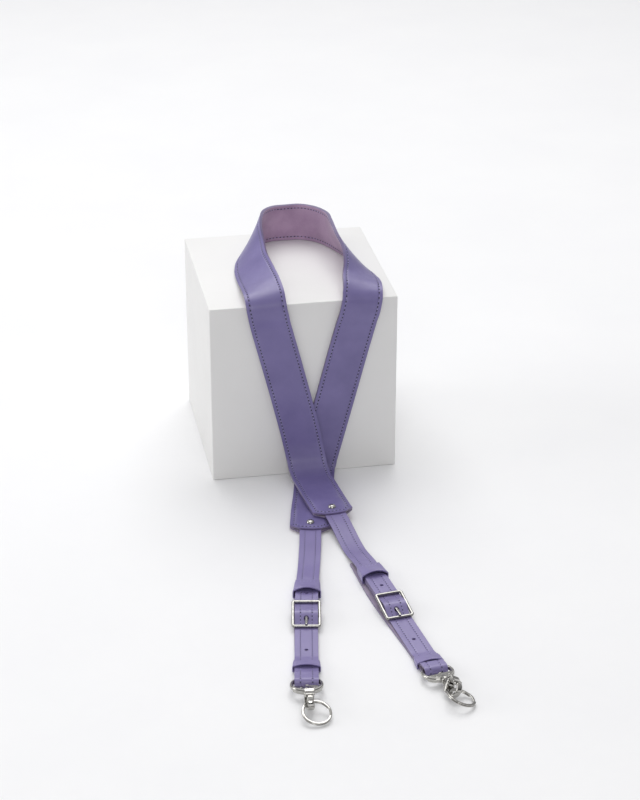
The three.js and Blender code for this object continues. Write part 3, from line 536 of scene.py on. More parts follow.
# x, y, z of the lower edge and the way across from it, as shares of the block's side, and the ride
bandRoute = [
    (-0.047, -1.092, 0, 0.99, 0.12, 0, 2.1), (-0.064, -0.955, 0, 0.99, 0.12, 0, 2.1),
    (-0.079, -0.8, 0, 0.99, 0.09, 0, 2), (-0.09, -0.67, 0.004, 1, 0.05, 0, 1.6),
    (-0.099, -0.58, 0.035, 1, 0, 0, 1.2), (-0.108, -0.525, 0.105, 1, 0, 0, 1),
    (-0.124, -0.503, 0.2, 1, 0, 0, 1), (-0.173, -0.5, 0.42, 1, 0, 0, 1),
    (-0.231, -0.5, 0.66, 1, 0, 0, 0.3), (-0.284, -0.506, 0.875, 1, 0, 0, 0),
    (-0.298, -0.517, 0.94, 1, 0, 0, 0), (-0.306, -0.514, 0.986, 1, 0, 0.01, 0),
    (-0.309, -0.489, 1.021, 1, 0, 0.05, 0), (-0.308, -0.45, 1.032, 0.99, -0.03, 0.12, 0),
    (-0.306, -0.37, 1.028, 0.96, -0.1, 0.26, 0),
    (-0.301, -0.25, 1.01, 0.9, -0.05, 0.43, 0), (-0.293, -0.1, 1, 0.79, -0.12, 0.6, 0),
    (-0.274, 0.02, 1, 0.72, -0.08, 0.69, 0), (-0.238, 0.13, 1, 0.57, -0.08, 0.82, 0),
    (-0.18, 0.24, 1, 0.38, -0.06, 0.93, 0), (-0.1, 0.325, 1, 0.17, -0.06, 0.98, 0),
    (0, 0.368, 1, 0.03, -0.07, 1, 0), (0.104, 0.367, 1, 0, -0.05, 1, 0),
    (0.2, 0.32, 1, -0.05, -0.04, 1, 0), (0.262, 0.227, 1, -0.1, -0.02, 1, 0),
    (0.306, 0.124, 1, -0.27, -0.03, 0.96, 0), (0.352, 0, 1, -0.48, -0.18, 0.87, 0),
    (0.397, -0.139, 1, -0.64, -0.16, 0.75, 0), (0.422, -0.24, 1.004, -0.8, -0.25, 0.52, 0),
    (0.43, -0.34, 1.018, -0.93, -0.12, 0.32, 0), (0.425, -0.43, 1.032, -0.965, -0.07, 0.18, 0),
    (0.419, -0.486, 1.021, -0.99, -0.02, 0.07, 0), (0.411, -0.513, 0.986, -1, 0, 0.02, 0),
    (0.401, -0.517, 0.94, -1, 0, 0, 0), (0.385, -0.506, 0.875, -1, 0, 0, 0),
    (0.327, -0.5, 0.65, -1, 0, 0, 0),
    (0.247, -0.5, 0.34, -1, 0, 0, 0), (0.178, -0.503, 0.08, -1, 0, 0, 0),
    (0.162, -0.523, 0.02, -1, 0, 0, 0), (0.148, -0.58, 0, -1, 0.06, 0, 0),
    (0.102, -0.79, 0, -0.98, 0.17, 0, 0), (0.048, -1.02, 0.0066, -0.98, 0.196, 0, 0),
    (0.014, -1.182, 0.0066, -0.98, 0.196, 0, 0),
]

half = bandFacts["width"] / 2
rivetInset = bandFacts["rivetInset"]
legStack = bandFacts["lining"] + bandFacts["outer"] + 2 * clearance
insertStack = bandFacts["strapThickness"] + clearance
outerLevel = clearance + bandFacts["lining"] + clearance
topLevel = outerLevel + bandFacts["outer"]

edgePoints = [Vector(row[:3]) * blockSide + upward * clearance for row in bandRoute]
routeStations = distancesOf(edgePoints)
bandLength = routeStations[-1]
edgeLines = [smoothLine(routeStations, [point[axis] for point in edgePoints]) for axis in range(3)]
acrossLines = [smoothLine(routeStations, [row[3 + axis] for row in bandRoute]) for axis in range(3)]
rideLine = smoothLine(routeStations, [row[6] * legStack for row in bandRoute])
knownPlaces = {}


def onLines(lines, at):
    return Vector([line(at) for line in lines])


def routePlace(at):
    # edge, heading, way across, its change along the band, and ride, kept once worked out
    key = round(at, 5)
    if key not in knownPlaces:
        low, high = max(at - 0.5, 0), min(at + 0.5, bandLength)
        forward = Vector([line(high) - line(low) for line in edgeLines]).normalized()
        turned = onLines(acrossLines, high).normalized() - onLines(acrossLines, low).normalized()
        knownPlaces[key] = (onLines(edgeLines, at), forward, onLines(acrossLines, at).normalized(),
                            turned / (high - low), rideLine(at))
    return knownPlaces[key]


def bandPoint(along, aside, height):
    within = min(max(along, 0), bandLength)
    edge, forward, across, change, ride = routePlace(within)
    slant = across.dot(forward)
    reach = (half + aside) / math.sqrt(1 - slant * slant)
    normal = across.cross((forward + change * reach).normalized()).normalized()
    return edge + across * reach + normal * (height + ride) + forward * (along - within)


def insertLift(along, aside):
    fromEnd = min(along, bandLength - along)
    insertLength = bandFacts["insertLength"]
    inward = 1 - easeInOut((fromEnd - insertLength - 2 * clearance) / insertLength)
    flat = bandFacts["strapWidth"] / 2 + bandFacts["insertMargin"]
    outward = 1 - easeInOut((abs(aside) - flat) / (half - 2 * clearance - flat))
    openEnd = 1 - min(fromEnd / (1.5 * bandFacts["cornerLength"]), 1)
    return insertStack * inward * max(outward, openEnd)


def seamGroove(fromEnd, aside):
    # depth of the sunk line that follows the outline at the seam's inset
    cornerLength, cornerWidth = bandFacts["cornerLength"], bandFacts["cornerWidth"]
    cut = (cornerWidth * fromEnd - cornerLength * (abs(aside) - half + cornerWidth)) / math.hypot(
        cornerLength, cornerWidth)
    gap = min(half - abs(aside), cut, fromEnd + bandFacts["endBow"] / 2)
    return bandFacts["groove"] * math.exp(-((gap - bandFacts["seamInset"]) / bandFacts["grooveWidth"]) ** 2)


def endShape(along):
    # distance from the nearer end, how far into its corners, and half the width there
    fromEnd = min(along, bandLength - along)
    fade = 1 - min(fromEnd / bandFacts["cornerLength"], 1)
    return fromEnd, fade, half - bandFacts["cornerWidth"] * fade


def bandSpot(along, share, height, lifted, grooved=0.0):
    # share is the place across, from -1 to 1, in the outline that narrows at the ends
    fromEnd, fade, halfHere = endShape(along)
    aside = share * halfHere
    side = -1 if along < bandLength / 2 else 1
    bowed = along + side * bandFacts["endBow"] * fade * (1 - share * share)
    lift = insertLift(along, aside) if lifted else 0
    return bandPoint(bowed, aside, height + lift + grooved * seamGroove(fromEnd, aside))


def bandShares():
    asides = [19, 18.3, 17.3, 16.6, 16.1, 15.8, 15.5, 15.2, 14.9, 14.4, 13.5, 11.5, 8, 4, 0]
    return mirrored([value / asides[0] for value in asides])


def bandStations():
    near = [0, 0.9, 1.7, 2.3, 2.8, 3.15, 3.5, 3.85, 4.2, 4.8, 5.6, 6.3, 7, 7.8, 8.8, 10, 11.5, 13]
    rows = round((bandLength - 2 * near[-1]) / bandFacts["step"])
    middle = [near[-1] + (bandLength - 2 * near[-1]) * i / rows for i in range(1, rows)]
    return near + middle + [bandLength - value for value in reversed(near)]


def bandSeam():
    # (along, aside) points of the seam: round both ends and along both sides
    inset = bandFacts["seamInset"]
    cornerLength, cornerWidth = bandFacts["cornerLength"], bandFacts["cornerWidth"]
    run = math.hypot(cornerLength, cornerWidth) * inset
    sideAt = (run + cornerLength * (cornerWidth - inset)) / cornerWidth
    endAside = half - cornerWidth + (cornerWidth * inset - run) / cornerLength
    aside = half - inset
    near = [(inset, -endAside), (sideAt, -aside)]
    lower = near + [(bandLength - along, y) for along, y in reversed(near)]
    return evenSteps(lower + [(along, -y) for along, y in reversed(lower)] + near[:1], 2.0)


def bandStitches(height, lifted, outward):
    def lay(point):
        return bandSpot(point.x, point.y / endShape(point.x)[2], height, lifted) * mm
    spots = []
    for spot, heading in walkLine(bandSeam(), bandFacts["pitch"], 1.0):
        here, ahead = lay(spot), lay(spot + heading * 0.4)
        aside = lay(spot + Vector((-heading.y, heading.x)) * 0.4)
        direction = (ahead - here).normalized()
        spots.append((here, direction, (aside - here).cross(direction).normalized() * outward))
    return spots


def rivetHole(along):
    end = bandPoint(along, 0, 0)
    return rod("hole", rivetFacts["hole"], end - upward * 12, end + upward * 24)


def makeBand():
    shares, stations = bandShares(), bandStations()
    outer = layGrid("band_outer_leather", stations, shares,
                    lambda along, share: bandSpot(along, share, topLevel, True, -1))
    thicken(outer, bandFacts["outer"] + 0.2, lilacLeather)
    lining = layGrid("band_suede_lining", stations, shares[::-1],
                     lambda along, share: bandSpot(along, share, clearance, False, 0.7))
    thicken(lining, bandFacts["lining"], mauveSuede)
    for piece in (outer, lining):
        softenEdges(piece, 0.38, 2, 50)
        for along in (rivetInset, bandLength - rivetInset):
            cutOut(piece, rivetHole(along))
    finishPiece(outer, Matrix.Identity(4), rootBody, ["band_outer"])
    finishPiece(lining, Matrix.Identity(4), rootBody, ["band_lining"])
    sewRun("band_outer_stitches", bandStitches(topLevel - 0.1, True, 1), bandFacts, rootBody)
    sewRun("band_lining_stitches", bandStitches(clearance + 0.05, False, -1), bandFacts, rootBody)


makeBand()
print("shoulder band made, length", round(bandLength), "mm")


# the two strands, from each end of the band

strandFacts = {
    "left": {"along": bandLength, "turn": 1.7, "sway": -4.2, "upperKeeperAt": 97, "buckleAt": 151,
             "lowerKeeperAt": 219, "sag": 2.4, "slip": -0.8, "eyeTilt": 10, "hookRoll": 0, "eyeTurn": 5,
             "ringShift": 5, "ringSeat": 3.2, "ringLift": 0.8, "ringRoll": 0},
    "right": {"along": 0, "turn": 0, "sway": 0, "upperKeeperAt": 94, "buckleAt": 164,
              "lowerKeeperAt": 243, "sag": 2.6, "slip": -3.4, "eyeTilt": 7, "hookRoll": -30, "eyeTurn": 5,
              "ringShift": 3, "ringSeat": 3, "ringLift": 1, "ringRoll": -20},
}
strapFacts = {
    "width": 20, "thickness": 1.6, "insertLength": 22, "returnLength": 67, "tipLength": 54, "hookLength": 105,
    "holeDiameter": 3.4, "holePitch": 41.5, "holeOffset": 8.5, "tipRound": 9, "liftStart": 76, "step": 2.2,
    "seamAside": 5, "groove": 0.24, "grooveWidth": 0.5, "pitch": 3.3, "stitch": (1.7, 0.64, 0.42),
}
keeperFacts = {
    "thickness": 1, "arch": 1.7, "upperLength": 20, "upperFlare": 2.4, "lowerLength": 11, "lowerFlare": 1.4,
    "stitches": 5, "stitchAt": 3.2, "stitchGap": 3,
}
buckleFacts = {
    "length": 34, "width": 25.6, "wire": 2.6, "corner": 1.6, "lug": 2.288,
    "prongWidth": 2.4, "prongThickness": 1.6,
}
snapFacts = {  # boss, collar, shank, head, pin, stud and knuckle are radii
    "eyeDiameter": 28, "eyeBand": 3, "eyeHeight": 3.6, "baseHeight": 5.2, "baseDepth": 7.5,
    "boss": 3.7, "bossLength": 4, "collar": 3, "collarLength": 3.2, "shank": 1.6,
    "head": 2.7, "headLength": 1.5, "bendRadius": 5.8, "reach": 12, "plate": 2.2, "bendWidth": 5,
    "bodyWidth": 8.2, "gatePlate": 1.6, "gateWidth": 4, "pin": 0.8, "thumbLength": 8, "nose": 68,
    "stud": 1.1, "studAt": (10.4, 5.4), "studRise": 0.35, "slot": (9, 7), "slotAt": (4.9, 4.2),
    "bodyLength": 4.6, "pivotAt": (2.4, 2.6), "knuckle": 1.6, "thumbRise": 3.4, "thumbGap": 1.2, "web": 3,
}
ringFacts = {"diameter": 25, "band": 2.2, "height": 2.4}

thick = strapFacts["thickness"]
halfStrap = strapFacts["width"] / 2
wire = buckleFacts["wire"]
backLevel = clearance + thick / 2
returnedLevel = backLevel + thick + keeperFacts["thickness"] + 2 * clearance
connectorLevel = returnedLevel + thick + clearance
tipLevel = connectorLevel + thick + clearance
frontLevel = backLevel + thick + clearance
keptBack = backLevel + keeperFacts["thickness"] + clearance
keptFront = keptBack + thick + clearance
barLoop = (wire + thick) / 2 + 1.5 * clearance
barLevel = backLevel + thick + clearance + barLoop
overBar = barLevel + barLoop + thick + 2 * clearance
farBar = tipLevel + (thick + wire) / 2 + clearance
nearBar = frontLevel + (thick + wire) / 2 + clearance
halfBuckle = (buckleFacts["length"] - wire) / 2
eyeLoop = snapFacts["eyeHeight"] / 2 + 2 * clearance + thick / 2
eyeRadius = snapFacts["eyeDiameter"] / 2
eyeHole = eyeRadius - snapFacts["eyeBand"]
foldBack = math.sqrt(eyeHole ** 2 - halfStrap ** 2) - 3 * clearance + eyeLoop - thick / 2


def strandEnd(facts):
    # the strand's frame on the floor, and the height of the band's end there
    along = facts["along"]
    outward = -1 if along == 0 else 1
    middle, rivet = bandPoint(along, 0, 0), bandPoint(along - outward * rivetInset, 0, 0)
    angle = math.atan2(middle.y - rivet.y, middle.x - rivet.x) + math.radians(facts["turn"])
    origin = Vector((rivet.x + rivetInset * math.cos(angle), rivet.y + rivetInset * math.sin(angle), 0)) * mm
    return Matrix.Translation(origin) @ Matrix.Rotation(angle, 4, "Z"), middle.z


def swayAt(facts, x):
    return facts["sway"] * easeInOut(x / facts["buckleAt"])


def eyePlace(facts):
    tilt = math.radians(facts["eyeTilt"])
    foldX = facts["buckleAt"] + strapFacts["hookLength"] - eyeLoop - thick / 2
    farEdge = backLevel + thick / 2 + 2 * clearance + snapFacts["eyeHeight"] / 2 * math.cos(tilt)
    z = farEdge + eyeRadius * math.sin(tilt)
    foldZ = z - foldBack * math.sin(tilt)
    return {"x": foldX + foldBack, "z": z, "tilt": tilt, "foldX": foldX, "foldZ": foldZ}


def connectorLine(facts, height):
    start = height + outerLevel + thick / 2
    bar = facts["buckleAt"]
    near = bar - 4 * barLoop
    points = [(-strapFacts["insertLength"], start), (0, start)]
    follow(points, (strapFacts["liftStart"] * 0.75, facts["sag"], 14),
           (facts["upperKeeperAt"] - 4, connectorLevel, 14), (near, connectorLevel),
           (bar, barLevel + barLoop, 8))
    points += arc(bar, barLevel, barLoop, 75, -90, 16)
    follow(points, (near, returnedLevel, 8), (bar - strapFacts["returnLength"], returnedLevel))
    return evenSteps(points, strapFacts["step"])


def holedLine(facts):
    bar, keeper = facts["buckleAt"], facts["lowerKeeperAt"]
    eye = eyePlace(facts)
    run = 5 * thick
    keeperEnd = keeper + keeperFacts["lowerLength"]
    wireStart = eye["x"] - eyeRadius - clearance
    overWire = backLevel + thick + snapFacts["eyeHeight"] + 4 * clearance
    within = halfBuckle - wire
    points = [(bar - strapFacts["tipLength"], tipLevel), (bar - within, tipLevel)]
    follow(points, (bar, overBar, 10), (bar + within, frontLevel, 12), (keeper - run, frontLevel),
           (keeper, keptFront, 8), (keeperEnd, keptFront), (wireStart, overWire, 8))
    points += arc(eye["foldX"], eye["foldZ"], eyeLoop, 90 + facts["eyeTilt"], -90, 18)
    follow(points, (wireStart, backLevel), (keeperEnd, keptBack, 8), (keeper, keptBack),
           (keeper - run, backLevel, 8), (strapFacts["liftStart"], backLevel))
    return evenSteps(points, strapFacts["step"])


def strapAsides():
    seam, edge = strapFacts["seamAside"], halfStrap
    return mirrored([edge, edge - 0.8, edge - 2.4, seam + 1.1, seam + 0.6, seam + 0.3, seam, seam - 0.3,
                     seam - 0.6, seam - 1.1, 2.4, 0])


def straight(facts, spot):
    return 0


def backShift(facts, spot):
    # the lowest layer of a strap has slipped sideways between its loose end and the lower keeper
    end = facts["lowerKeeperAt"] - 6 * thick
    start = strapFacts["liftStart"] - 30
    if spot.y > frontLevel - thick / 2 or not start < spot.x < end:
        return 0
    return facts["slip"] * math.sin(math.pi * (spot.x - start) / (end - start)) ** 1.5


def makeStrap(name, line, facts, tip=0.0, shift=straight):
    # a strap laid on its side line, with sunk seam lines; tip rounds off its first end
    normals = [Vector((-heading.y, heading.x)) for heading in headingsOf(line)]
    walked = distancesOf(line)

    def lay(row, aside):
        width = 1.0
        if tip and walked[row] < tip:
            width = math.sqrt(max(1 - (1 - walked[row] / tip) ** 2, 0)) * 0.45 + 0.55
        fromSeam = (abs(aside) - strapFacts["seamAside"]) / strapFacts["grooveWidth"]
        groove = strapFacts["groove"] * math.exp(-fromSeam ** 2)
        spot = line[row] + normals[row] * (thick / 2 - groove)
        return Vector((spot.x, aside * width + swayAt(facts, spot.x) + shift(facts, line[row]), spot.y))
    piece = layGrid(name, list(range(len(line))), strapAsides()[::-1], lay)
    # the strap's face takes the lighter copy of the leather, painted light
    thicken(piece, thick, litStrapLeather)
    return softenEdges(piece, 0.35, 2, 50)


def strapStitches(line, facts, place, first, last, shift):
    # two seams on both faces, between two distances along the line
    turn = place.to_3x3()
    count = int((last - first) / strapFacts["pitch"])
    spots = []
    for point, heading in walkLine(line, strapFacts["pitch"], first)[:count]:
        normal = Vector((-heading.y, heading.x))
        drift = (swayAt(facts, point.x + 1) - swayAt(facts, point.x)) * heading.x
        ahead = (turn @ Vector((heading.x, drift, heading.y))).normalized()
        for face in (1, -1):
            spot = point + normal * face * (thick / 2 - (0.08 if face > 0 else -0.16))
            for side in (-1, 1):
                y = side * strapFacts["seamAside"] + swayAt(facts, spot.x) + shift(facts, point)
                spots.append((place @ (Vector((spot.x, y, spot.y)) * mm), ahead,
                              turn @ Vector((normal.x, 0, normal.y)) * face))
    return spots


def holeCutter(facts, x, diameter, low, high):
    y = swayAt(facts, x)
    return rod("cutter", diameter / 2, (x, y, low), (x, y, high), 32)


def boxCutter(x, y, z, size):
    bpy.ops.mesh.primitive_cube_add(size=1)
    piece = newPrimitive("cutter")
    piece.data.transform(Matrix.Translation((x, y, z)) @ Matrix.Diagonal((*size, 1)))
    return piece


def finishStrap(label, strap, line, facts, place, first, shift=straight):
    # the seams start at the first distance along the line and stop short of its end
    finishPiece(strap, place, rootBody, [label])
    spots = strapStitches(line, facts, place, first, distancesOf(line)[-1] - 2, shift)
    sewRun(label + "_stitches", spots, strapFacts, rootBody)


def makeStraps(name, facts, place, height):
    bar, prongWidth = facts["buckleAt"], buckleFacts["prongWidth"]
    label = "connector_strap_" + name
    connector = connectorLine(facts, height)
    strap = makeStrap(label + "_leather", connector, facts)
    slotLength = 2 * barLoop + thick + prongWidth
    slotX = bar + slotLength / 2 - barLoop - prongWidth
    slotSize = (slotLength, prongWidth + 2 * clearance, 6 * barLoop)
    cutOut(strap, boxCutter(slotX, facts["sway"], barLevel, slotSize))
    rivetEnds = [(-rivetInset, 0, height + reach) for reach in (-2, 12)]
    cutOut(strap, rod("cutter", rivetFacts["hole"], *rivetEnds))
    finishStrap(label, strap, connector, facts, place, strapFacts["insertLength"] + 3)

    label = "holed_strap_" + name
    holed = holedLine(facts)
    strap = makeStrap(label + "_leather", holed, facts, strapFacts["tipRound"], backShift)
    hole, diameter = strapFacts["holeOffset"], strapFacts["holeDiameter"]
    for offset in (-strapFacts["holePitch"], strapFacts["holePitch"]):
        cutOut(strap, holeCutter(facts, bar + (hole + offset), diameter, keptBack - 0.2, overBar + 4))
    cutOut(strap, holeCutter(facts, bar + hole - 2, diameter + 1, barLevel - 1, overBar + 6))  # for the prong
    finishStrap(label, strap, holed, facts, place, 5, backShift)


def roundCorners(x, low, high):
    # corner centres of a rounded rectangle, and the angle at which each corner starts
    return (x, low, -90), (x, high, 0), (-x, high, 90), (-x, low, 180)


def keeperOutline(halfWidth, low, high, radius, crown, steps=6):
    # a rounded rectangle with an arched top, as (y, z) points that end where they start
    points = []
    for y, z, start in roundCorners(halfWidth - radius, low + radius, high - radius):
        points += arc(y, z, radius, start, start + 90, steps)
        if start == 0:
            across = [halfWidth - radius - (2 * halfWidth - 2 * radius) * k / 10 for k in range(1, 10)]
            points += [(value, high) for value in across]
    middle = (low + high) / 2
    arched = [(y, z + (crown * (1 - (y / halfWidth) ** 2) if z > middle else 0)) for y, z in points]
    return arched + [arched[0]]


def makeKeeper(which, name, facts, place, low, high):
    # a closed loop of thin leather: skived where it starts, arched and open at its mouth
    label = which + "_keeper_" + name
    start, length = facts[which + "KeeperAt"], keeperFacts[which + "Length"]
    inside = halfStrap + clearance
    wall = keeperFacts["thickness"]

    def outlineAt(share, thickness):
        spread = keeperFacts[which + "Flare"] * share * share
        radius = 0.3 + thickness
        return keeperOutline(inside + spread / 2 + thickness, low - thickness, high + thickness, radius,
                             spread * keeperFacts["arch"])
    shares = [i / 12 for i in range(13)]
    rows = [(share, outlineAt(share, wall * (0.4 + 0.6 * easeInOut(share / 0.35)))) for share in shares]
    rows += [(share, outlineAt(share, 0.02)) for share in reversed(shares)]
    rows.append(rows[0])

    def lay(row, index):
        share, outline = row
        y, z = outline[index]
        x = start + length * share
        return Vector((x, y + swayAt(facts, x), z))
    piece = layGrid(label + "_leather", rows, list(range(len(rows[0][1]))), lay)
    closeUp(piece)
    softenEdges(piece, 0.25, 2, 60)
    addMaterials(piece, litStrapLeather)
    finishPiece(piece, place, rootBody, [label], 45)
    spots = []
    turn = place.to_3x3()
    x = start + keeperFacts["stitchAt"]
    for k in range(keeperFacts["stitches"]):
        y = keeperFacts["stitchGap"] * (k - keeperFacts["stitches"] // 2)
        local = Vector((x, y + swayAt(facts, x), high + wall * 0.72)) * mm
        spots.append((place @ local, turn @ Vector((0, 1, 0)), turn @ upward))
    sewRun(label + "_stitches", spots, strapFacts, rootBody)


def outwardAt(degrees):
    angle = math.radians(degrees)
    return Vector((math.cos(angle), math.sin(angle), 0))


def rectangleLoop(halfX, halfY, radius, steps=10):
    # spots round a rectangle with rounded corners, ending where they start
    loop = []
    for x, y, start in roundCorners(halfX - radius, radius - halfY, halfY - radius):
        for i in range(steps + 1):
            outward = outwardAt(start + 90 * i / steps)
            loop.append((Vector((x, y, 0)) + outward * radius, outward, upward))
    return loop + [loop[0]]


def makeBuckle(name, facts, place):
    bar = facts["buckleAt"]
    lean = math.atan2(farBar - nearBar, 2 * halfBuckle)
    rimHeight = (farBar + nearBar) / 2
    halfX = buckleFacts["length"] / 2 / math.cos(lean) - wire / 2
    halfY = (buckleFacts["width"] - wire) / 2
    spots = rectangleLoop(halfX, halfY, buckleFacts["corner"])
    label = "buckle_" + name
    piece = sweep(label + "_frame", spots, roundedSection(wire, wire, 2.7, 32))
    piece.data.transform(Matrix.Translation((bar, 0, rimHeight)) @ Matrix.Rotation(lean, 4, "Y"))
    combine(piece, rod("bar", wire / 2, (bar, -halfY - 1, barLevel), (bar, halfY + 1, barLevel), 40, 0.3))
    for side in (-halfY, halfY):
        combine(piece, rod("lug", buckleFacts["lug"] / 2, (bar, side, barLevel), (bar, side, rimHeight), 32))
    shift = place @ Matrix.Translation((0, facts["sway"] * mm, 0))
    # the frame takes the darker copy of the nickel, painted shade
    finishMetal(piece, shift, rootBody, label, shadedBuckleNickel)

    ringRadius = wire / 2 + clearance + buckleFacts["prongThickness"] / 2
    points = arc(bar, barLevel, ringRadius, 400, 90, 30)
    top = Vector((bar, barLevel + ringRadius))
    tipPoint = Vector((bar + halfBuckle + wire / 2, nearBar + ringRadius))
    points += [tuple(top.lerp(tipPoint, k / 12)) for k in range(1, 13)]
    line = evenSteps(points, 1.2)

    def tongueWidth(share):
        return buckleFacts["prongWidth"] * (1 if share < 0.93 else 1 - 0.55 * ((share - 0.93) / 0.07) ** 2)
    prong = sideStrip("prong_" + name + "_tongue", line, buckleFacts["prongThickness"], tongueWidth, 0.25, 3)
    finishMetal(prong, shift, rootBody, "prong_" + name, nickelPlate)


def makeRivet(name, facts, place, height):
    top = height + outerLevel + insertStack + bandFacts["outer"]
    back = height + clearance
    radius, rim = rivetFacts["radius"], rivetFacts["rim"]
    bpy.ops.mesh.primitive_uv_sphere_add(segments=48, ring_count=24, radius=radius)
    cap = newPrimitive("rivet_" + name + "_domed")
    flatten = {"value": (1, 1, rivetFacts["dome"] / radius), "center_override": (0, 0, 0)}
    editAll(cap, keepBeyond((0, 0, 0), (0, 0, 1)), (bpy.ops.transform.resize, flatten))
    cap.data.transform(Matrix.Translation((0, 0, top + rim)))
    combine(cap, rod("rim", radius, (0, 0, top + 0.02), (0, 0, top + rim + 0.05), 48, 0.12))
    combine(cap, rod("post", rivetFacts["post"], (0, 0, back - 0.8), (0, 0, top + rim + 0.15), 32))
    combine(cap, rod("washer", rivetFacts["washer"], (0, 0, back - 1), (0, 0, back - 0.32), 48, 0.22))
    shift = place @ Matrix.Translation((-rivetInset * mm, 0, 0))
    finishMetal(cap, shift, rootBody, "rivet_" + name, nickelPlate)


def circleLoop(radius, steps):
    outwards = [outwardAt(360 * i / steps) for i in range(steps + 1)]
    return [(outward * radius, outward, upward) for outward in outwards]


eyeBase = eyeRadius - snapFacts["baseDepth"]
bossStart = eyeRadius - 1
bossEnd = bossStart + snapFacts["bossLength"]
shoulder = bossEnd + clearance
fork = shoulder + snapFacts["collarLength"]
bend = fork + snapFacts["reach"]
pivotX, pivotZ = fork + snapFacts["pivotAt"][0], snapFacts["pivotAt"][1]
bodyEnd = fork + snapFacts["bodyLength"]


def makeEye(name, place):
    band, height = snapFacts["eyeBand"], snapFacts["eyeHeight"]
    piece = sweep("eye_" + name + "_ring", circleLoop(eyeRadius - band / 2, 96),
                  roundedSection(band, height, 2.5, 24))
    baseTop = snapFacts["baseHeight"] / 2
    base = rod("base", eyeRadius - 0.5, (0, 0, -baseTop), (0, 0, baseTop), 96)
    editAll(base, keepBeyond((eyeBase, 0, 0), (1, 0, 0)))
    softenEdges(base, 0.75, 4)
    combine(piece, base)
    combine(piece, rod("boss", snapFacts["boss"], (bossStart - 1.5, 0, 0), (bossEnd, 0, 0), 48, 0.6))
    studX, studY = snapFacts["studAt"]
    studTop = baseTop + snapFacts["studRise"]
    for y in (-studY, studY):
        combine(piece, rod("stud", snapFacts["stud"], (studX, y, 0), (studX, y, studTop), 28, 0.3))
    bore = snapFacts["shank"] + 0.4
    cutOut(piece, rod("bore", bore, (eyeBase - 2, 0, 0), (bossEnd + 2, 0, 0), 40))
    finishMetal(piece, place, rootBody, "eye_" + name, nickelPlate)


def pivotRod(name, radius, reach, sides, soft=0.0):
    # a rod across the snap's body, through the gate's pivot
    return rod(name, radius, (pivotX, -reach, pivotZ), (pivotX, reach, pivotZ), sides, soft)


def makeHook(name, place):
    headEnd = eyeBase - 2 * clearance
    piece = rod("hook_" + name + "_cast", snapFacts["shank"], (headEnd - 1, 0, 0), (shoulder + 1.5, 0, 0), 40)
    headStart = headEnd - snapFacts["headLength"]
    head = rod("head", snapFacts["head"], (headStart, 0, 0), (headEnd, 0, 0), 40, 0.35)
    collar = rod("collar", snapFacts["collar"], (shoulder, 0, 0), (fork + 1.2, 0, 0), 48, 0.45)
    radius, plate = snapFacts["bendRadius"], snapFacts["plate"]
    outline = [(fork, -3.2), (fork + 2, -5), (bodyEnd, -radius - plate / 2),
               (bodyEnd + 1.6, -radius - plate / 2 + 0.2), (bodyEnd + 1.6, -radius + plate / 2),
               (bodyEnd - 0.4, 0), (pivotX + 1.8, pivotZ + 0.6), (pivotX + 0.6, pivotZ + 1.7),
               (pivotX - 0.8, pivotZ + 1.75), (fork, pivotZ + 1.2)]
    body = plateFromOutline("body", outline, snapFacts["bodyWidth"], 0.7)
    combine(body, collar)
    room = snapFacts["gateWidth"] + 2 * clearance
    slotLength, slotHeight = snapFacts["slot"]
    slotX, slotZ = snapFacts["slotAt"]
    cutOut(body, boxCutter(fork + slotX, 0, slotZ, (slotLength, room, slotHeight)))
    width = snapFacts["bodyWidth"]
    cutOut(body, pivotRod("pinHole", snapFacts["pin"] + 0.05, width, 24))
    line = evenSteps([(bodyEnd - 1, -radius)] + arc(bend, 0, radius, -90, snapFacts["nose"], 30), 1.5)

    def loopWidth(share):
        return width + (snapFacts["bendWidth"] - width) * easeInOut(share / 0.45)
    loop = sideStrip("loop", line, plate, loopWidth, 0.3, 4)
    for other in (head, body, loop):
        combine(piece, other)
    finishMetal(piece, place, name + "_hook", "hook_" + name, nickelPlate)


def makeGate(name, place):
    nose = math.radians(snapFacts["nose"])
    noseX = bend + snapFacts["bendRadius"] * math.cos(nose)
    noseZ = snapFacts["bendRadius"] * math.sin(nose)
    tipX = noseX - snapFacts["plate"] / 2 - clearance
    width = snapFacts["gateWidth"]
    plate = snapFacts["gatePlate"]
    line = evenSteps([(pivotX, pivotZ), (tipX - 0.6, noseZ - 0.4)], 1.5)
    piece = sideStrip("gate_" + name + "_lever", line, plate, lambda share: width, 0.2, 5)
    combine(piece, pivotRod("knuckle", snapFacts["knuckle"], width / 2, 32, 0.2))
    combine(piece, pivotRod("pin", snapFacts["pin"], snapFacts["bodyWidth"] / 2, 28, 0.15))
    plateZ = pivotZ + snapFacts["thumbRise"]
    plateEnd = tipX - snapFacts["thumbGap"]
    length = snapFacts["thumbLength"]
    curl = smoothLine([0, 0.5, 1], [plateZ + 1.4, plateZ + 0.4, plateZ])
    thumb = [Vector((plateEnd - length * (1 - k / 10), curl(k / 10))) for k in range(11)]
    combine(piece, sideStrip("thumb", thumb, plate, lambda share: snapFacts["bodyWidth"], 0.3, 6))
    web = boxCutter(plateEnd - length * 0.25, 0, plateZ - 1.3, (length * 0.4, width, snapFacts["web"]))
    combine(piece, softenEdges(web, 0.3, 2))
    finishMetal(piece, place, name + "_gate", "gate_" + name, nickelPlate)


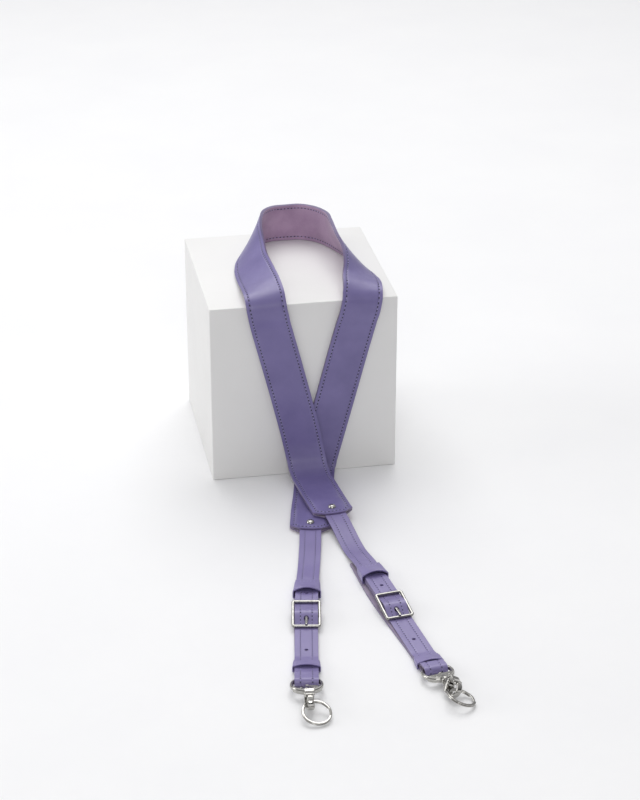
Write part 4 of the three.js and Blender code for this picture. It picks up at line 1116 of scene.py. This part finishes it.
def makeSplitRing(name, facts, place, snap, swivel):
    # two turns of flat wire, with a step where one turn passes to the other
    radius = (ringFacts["diameter"] - ringFacts["band"]) / 2
    quarter = ringFacts["height"] / 4
    seat = (snapFacts["plate"] + ringFacts["height"]) / 2 + 2 * clearance - snapFacts["bendRadius"]
    seat += facts["ringLift"]
    held = snap @ swivel @ Vector((bend - facts["ringSeat"], 0, seat))
    roll = math.radians(facts["ringRoll"])
    drop = (held.z - ringFacts["height"] / 2 - clearance) / radius
    lean = math.asin((drop ** 2 - math.sin(roll) ** 2) / (2 * drop + ringFacts["band"] / radius))
    yaw = math.radians(facts["eyeTurn"]) + math.asin(facts["ringShift"] / radius)
    turn = Matrix.Rotation(yaw, 4, "Z") @ Matrix.Rotation(lean, 4, "Y") @ Matrix.Rotation(roll, 4, "X")
    centre = held + turn @ Vector((radius, 0, 0))
    spots = []
    for i in range(169):
        degrees = 25 + 670 * i / 168
        level = quarter * (2 * easeInOut((degrees - 340) / 40) - 1)
        outward = outwardAt(degrees + 70)
        spots.append((outward * radius + upward * level, outward, upward))
    section = roundedSection(ringFacts["band"], 2 * quarter - 0.04, 3.4, 20)
    piece = sweep("split_ring_" + name + "_coil", spots, section)
    softenEdges(piece, 0.12, 2, 60)
    shift = place @ Matrix.Translation(centre * mm) @ turn
    finishMetal(piece, shift, name + "_hook", "split_ring_" + name, nickelPlate)


def makeStrand(name, facts):
    place, height = strandEnd(facts)
    makeRivet(name, facts, place, height)
    makeStraps(name, facts, place, height)
    margin = thick / 2 + clearance
    makeKeeper("upper", name, facts, place, returnedLevel - margin, tipLevel + margin)
    makeKeeper("lower", name, facts, place, keptBack - margin, keptFront + margin)
    makeBuckle(name, facts, place)
    eye = eyePlace(facts)
    turn = Matrix.Rotation(math.radians(facts["eyeTurn"]), 4, "Z") @ Matrix.Rotation(-eye["tilt"], 4, "Y")
    centre = Vector((eye["x"], facts["sway"], eye["z"]))
    snap, seat = Matrix.Translation(centre) @ turn, place @ Matrix.Translation(centre * mm) @ turn
    swivel = Matrix.Rotation(math.radians(facts["hookRoll"]), 4, "X")
    makeEye(name, seat)
    makeHook(name, seat @ swivel)
    makeGate(name, seat @ swivel)
    makeSplitRing(name, facts, place, snap, swivel)
    print(name, "strand made")


for strandName, strandTable in strandFacts.items():
    makeStrand(strandName, strandTable)
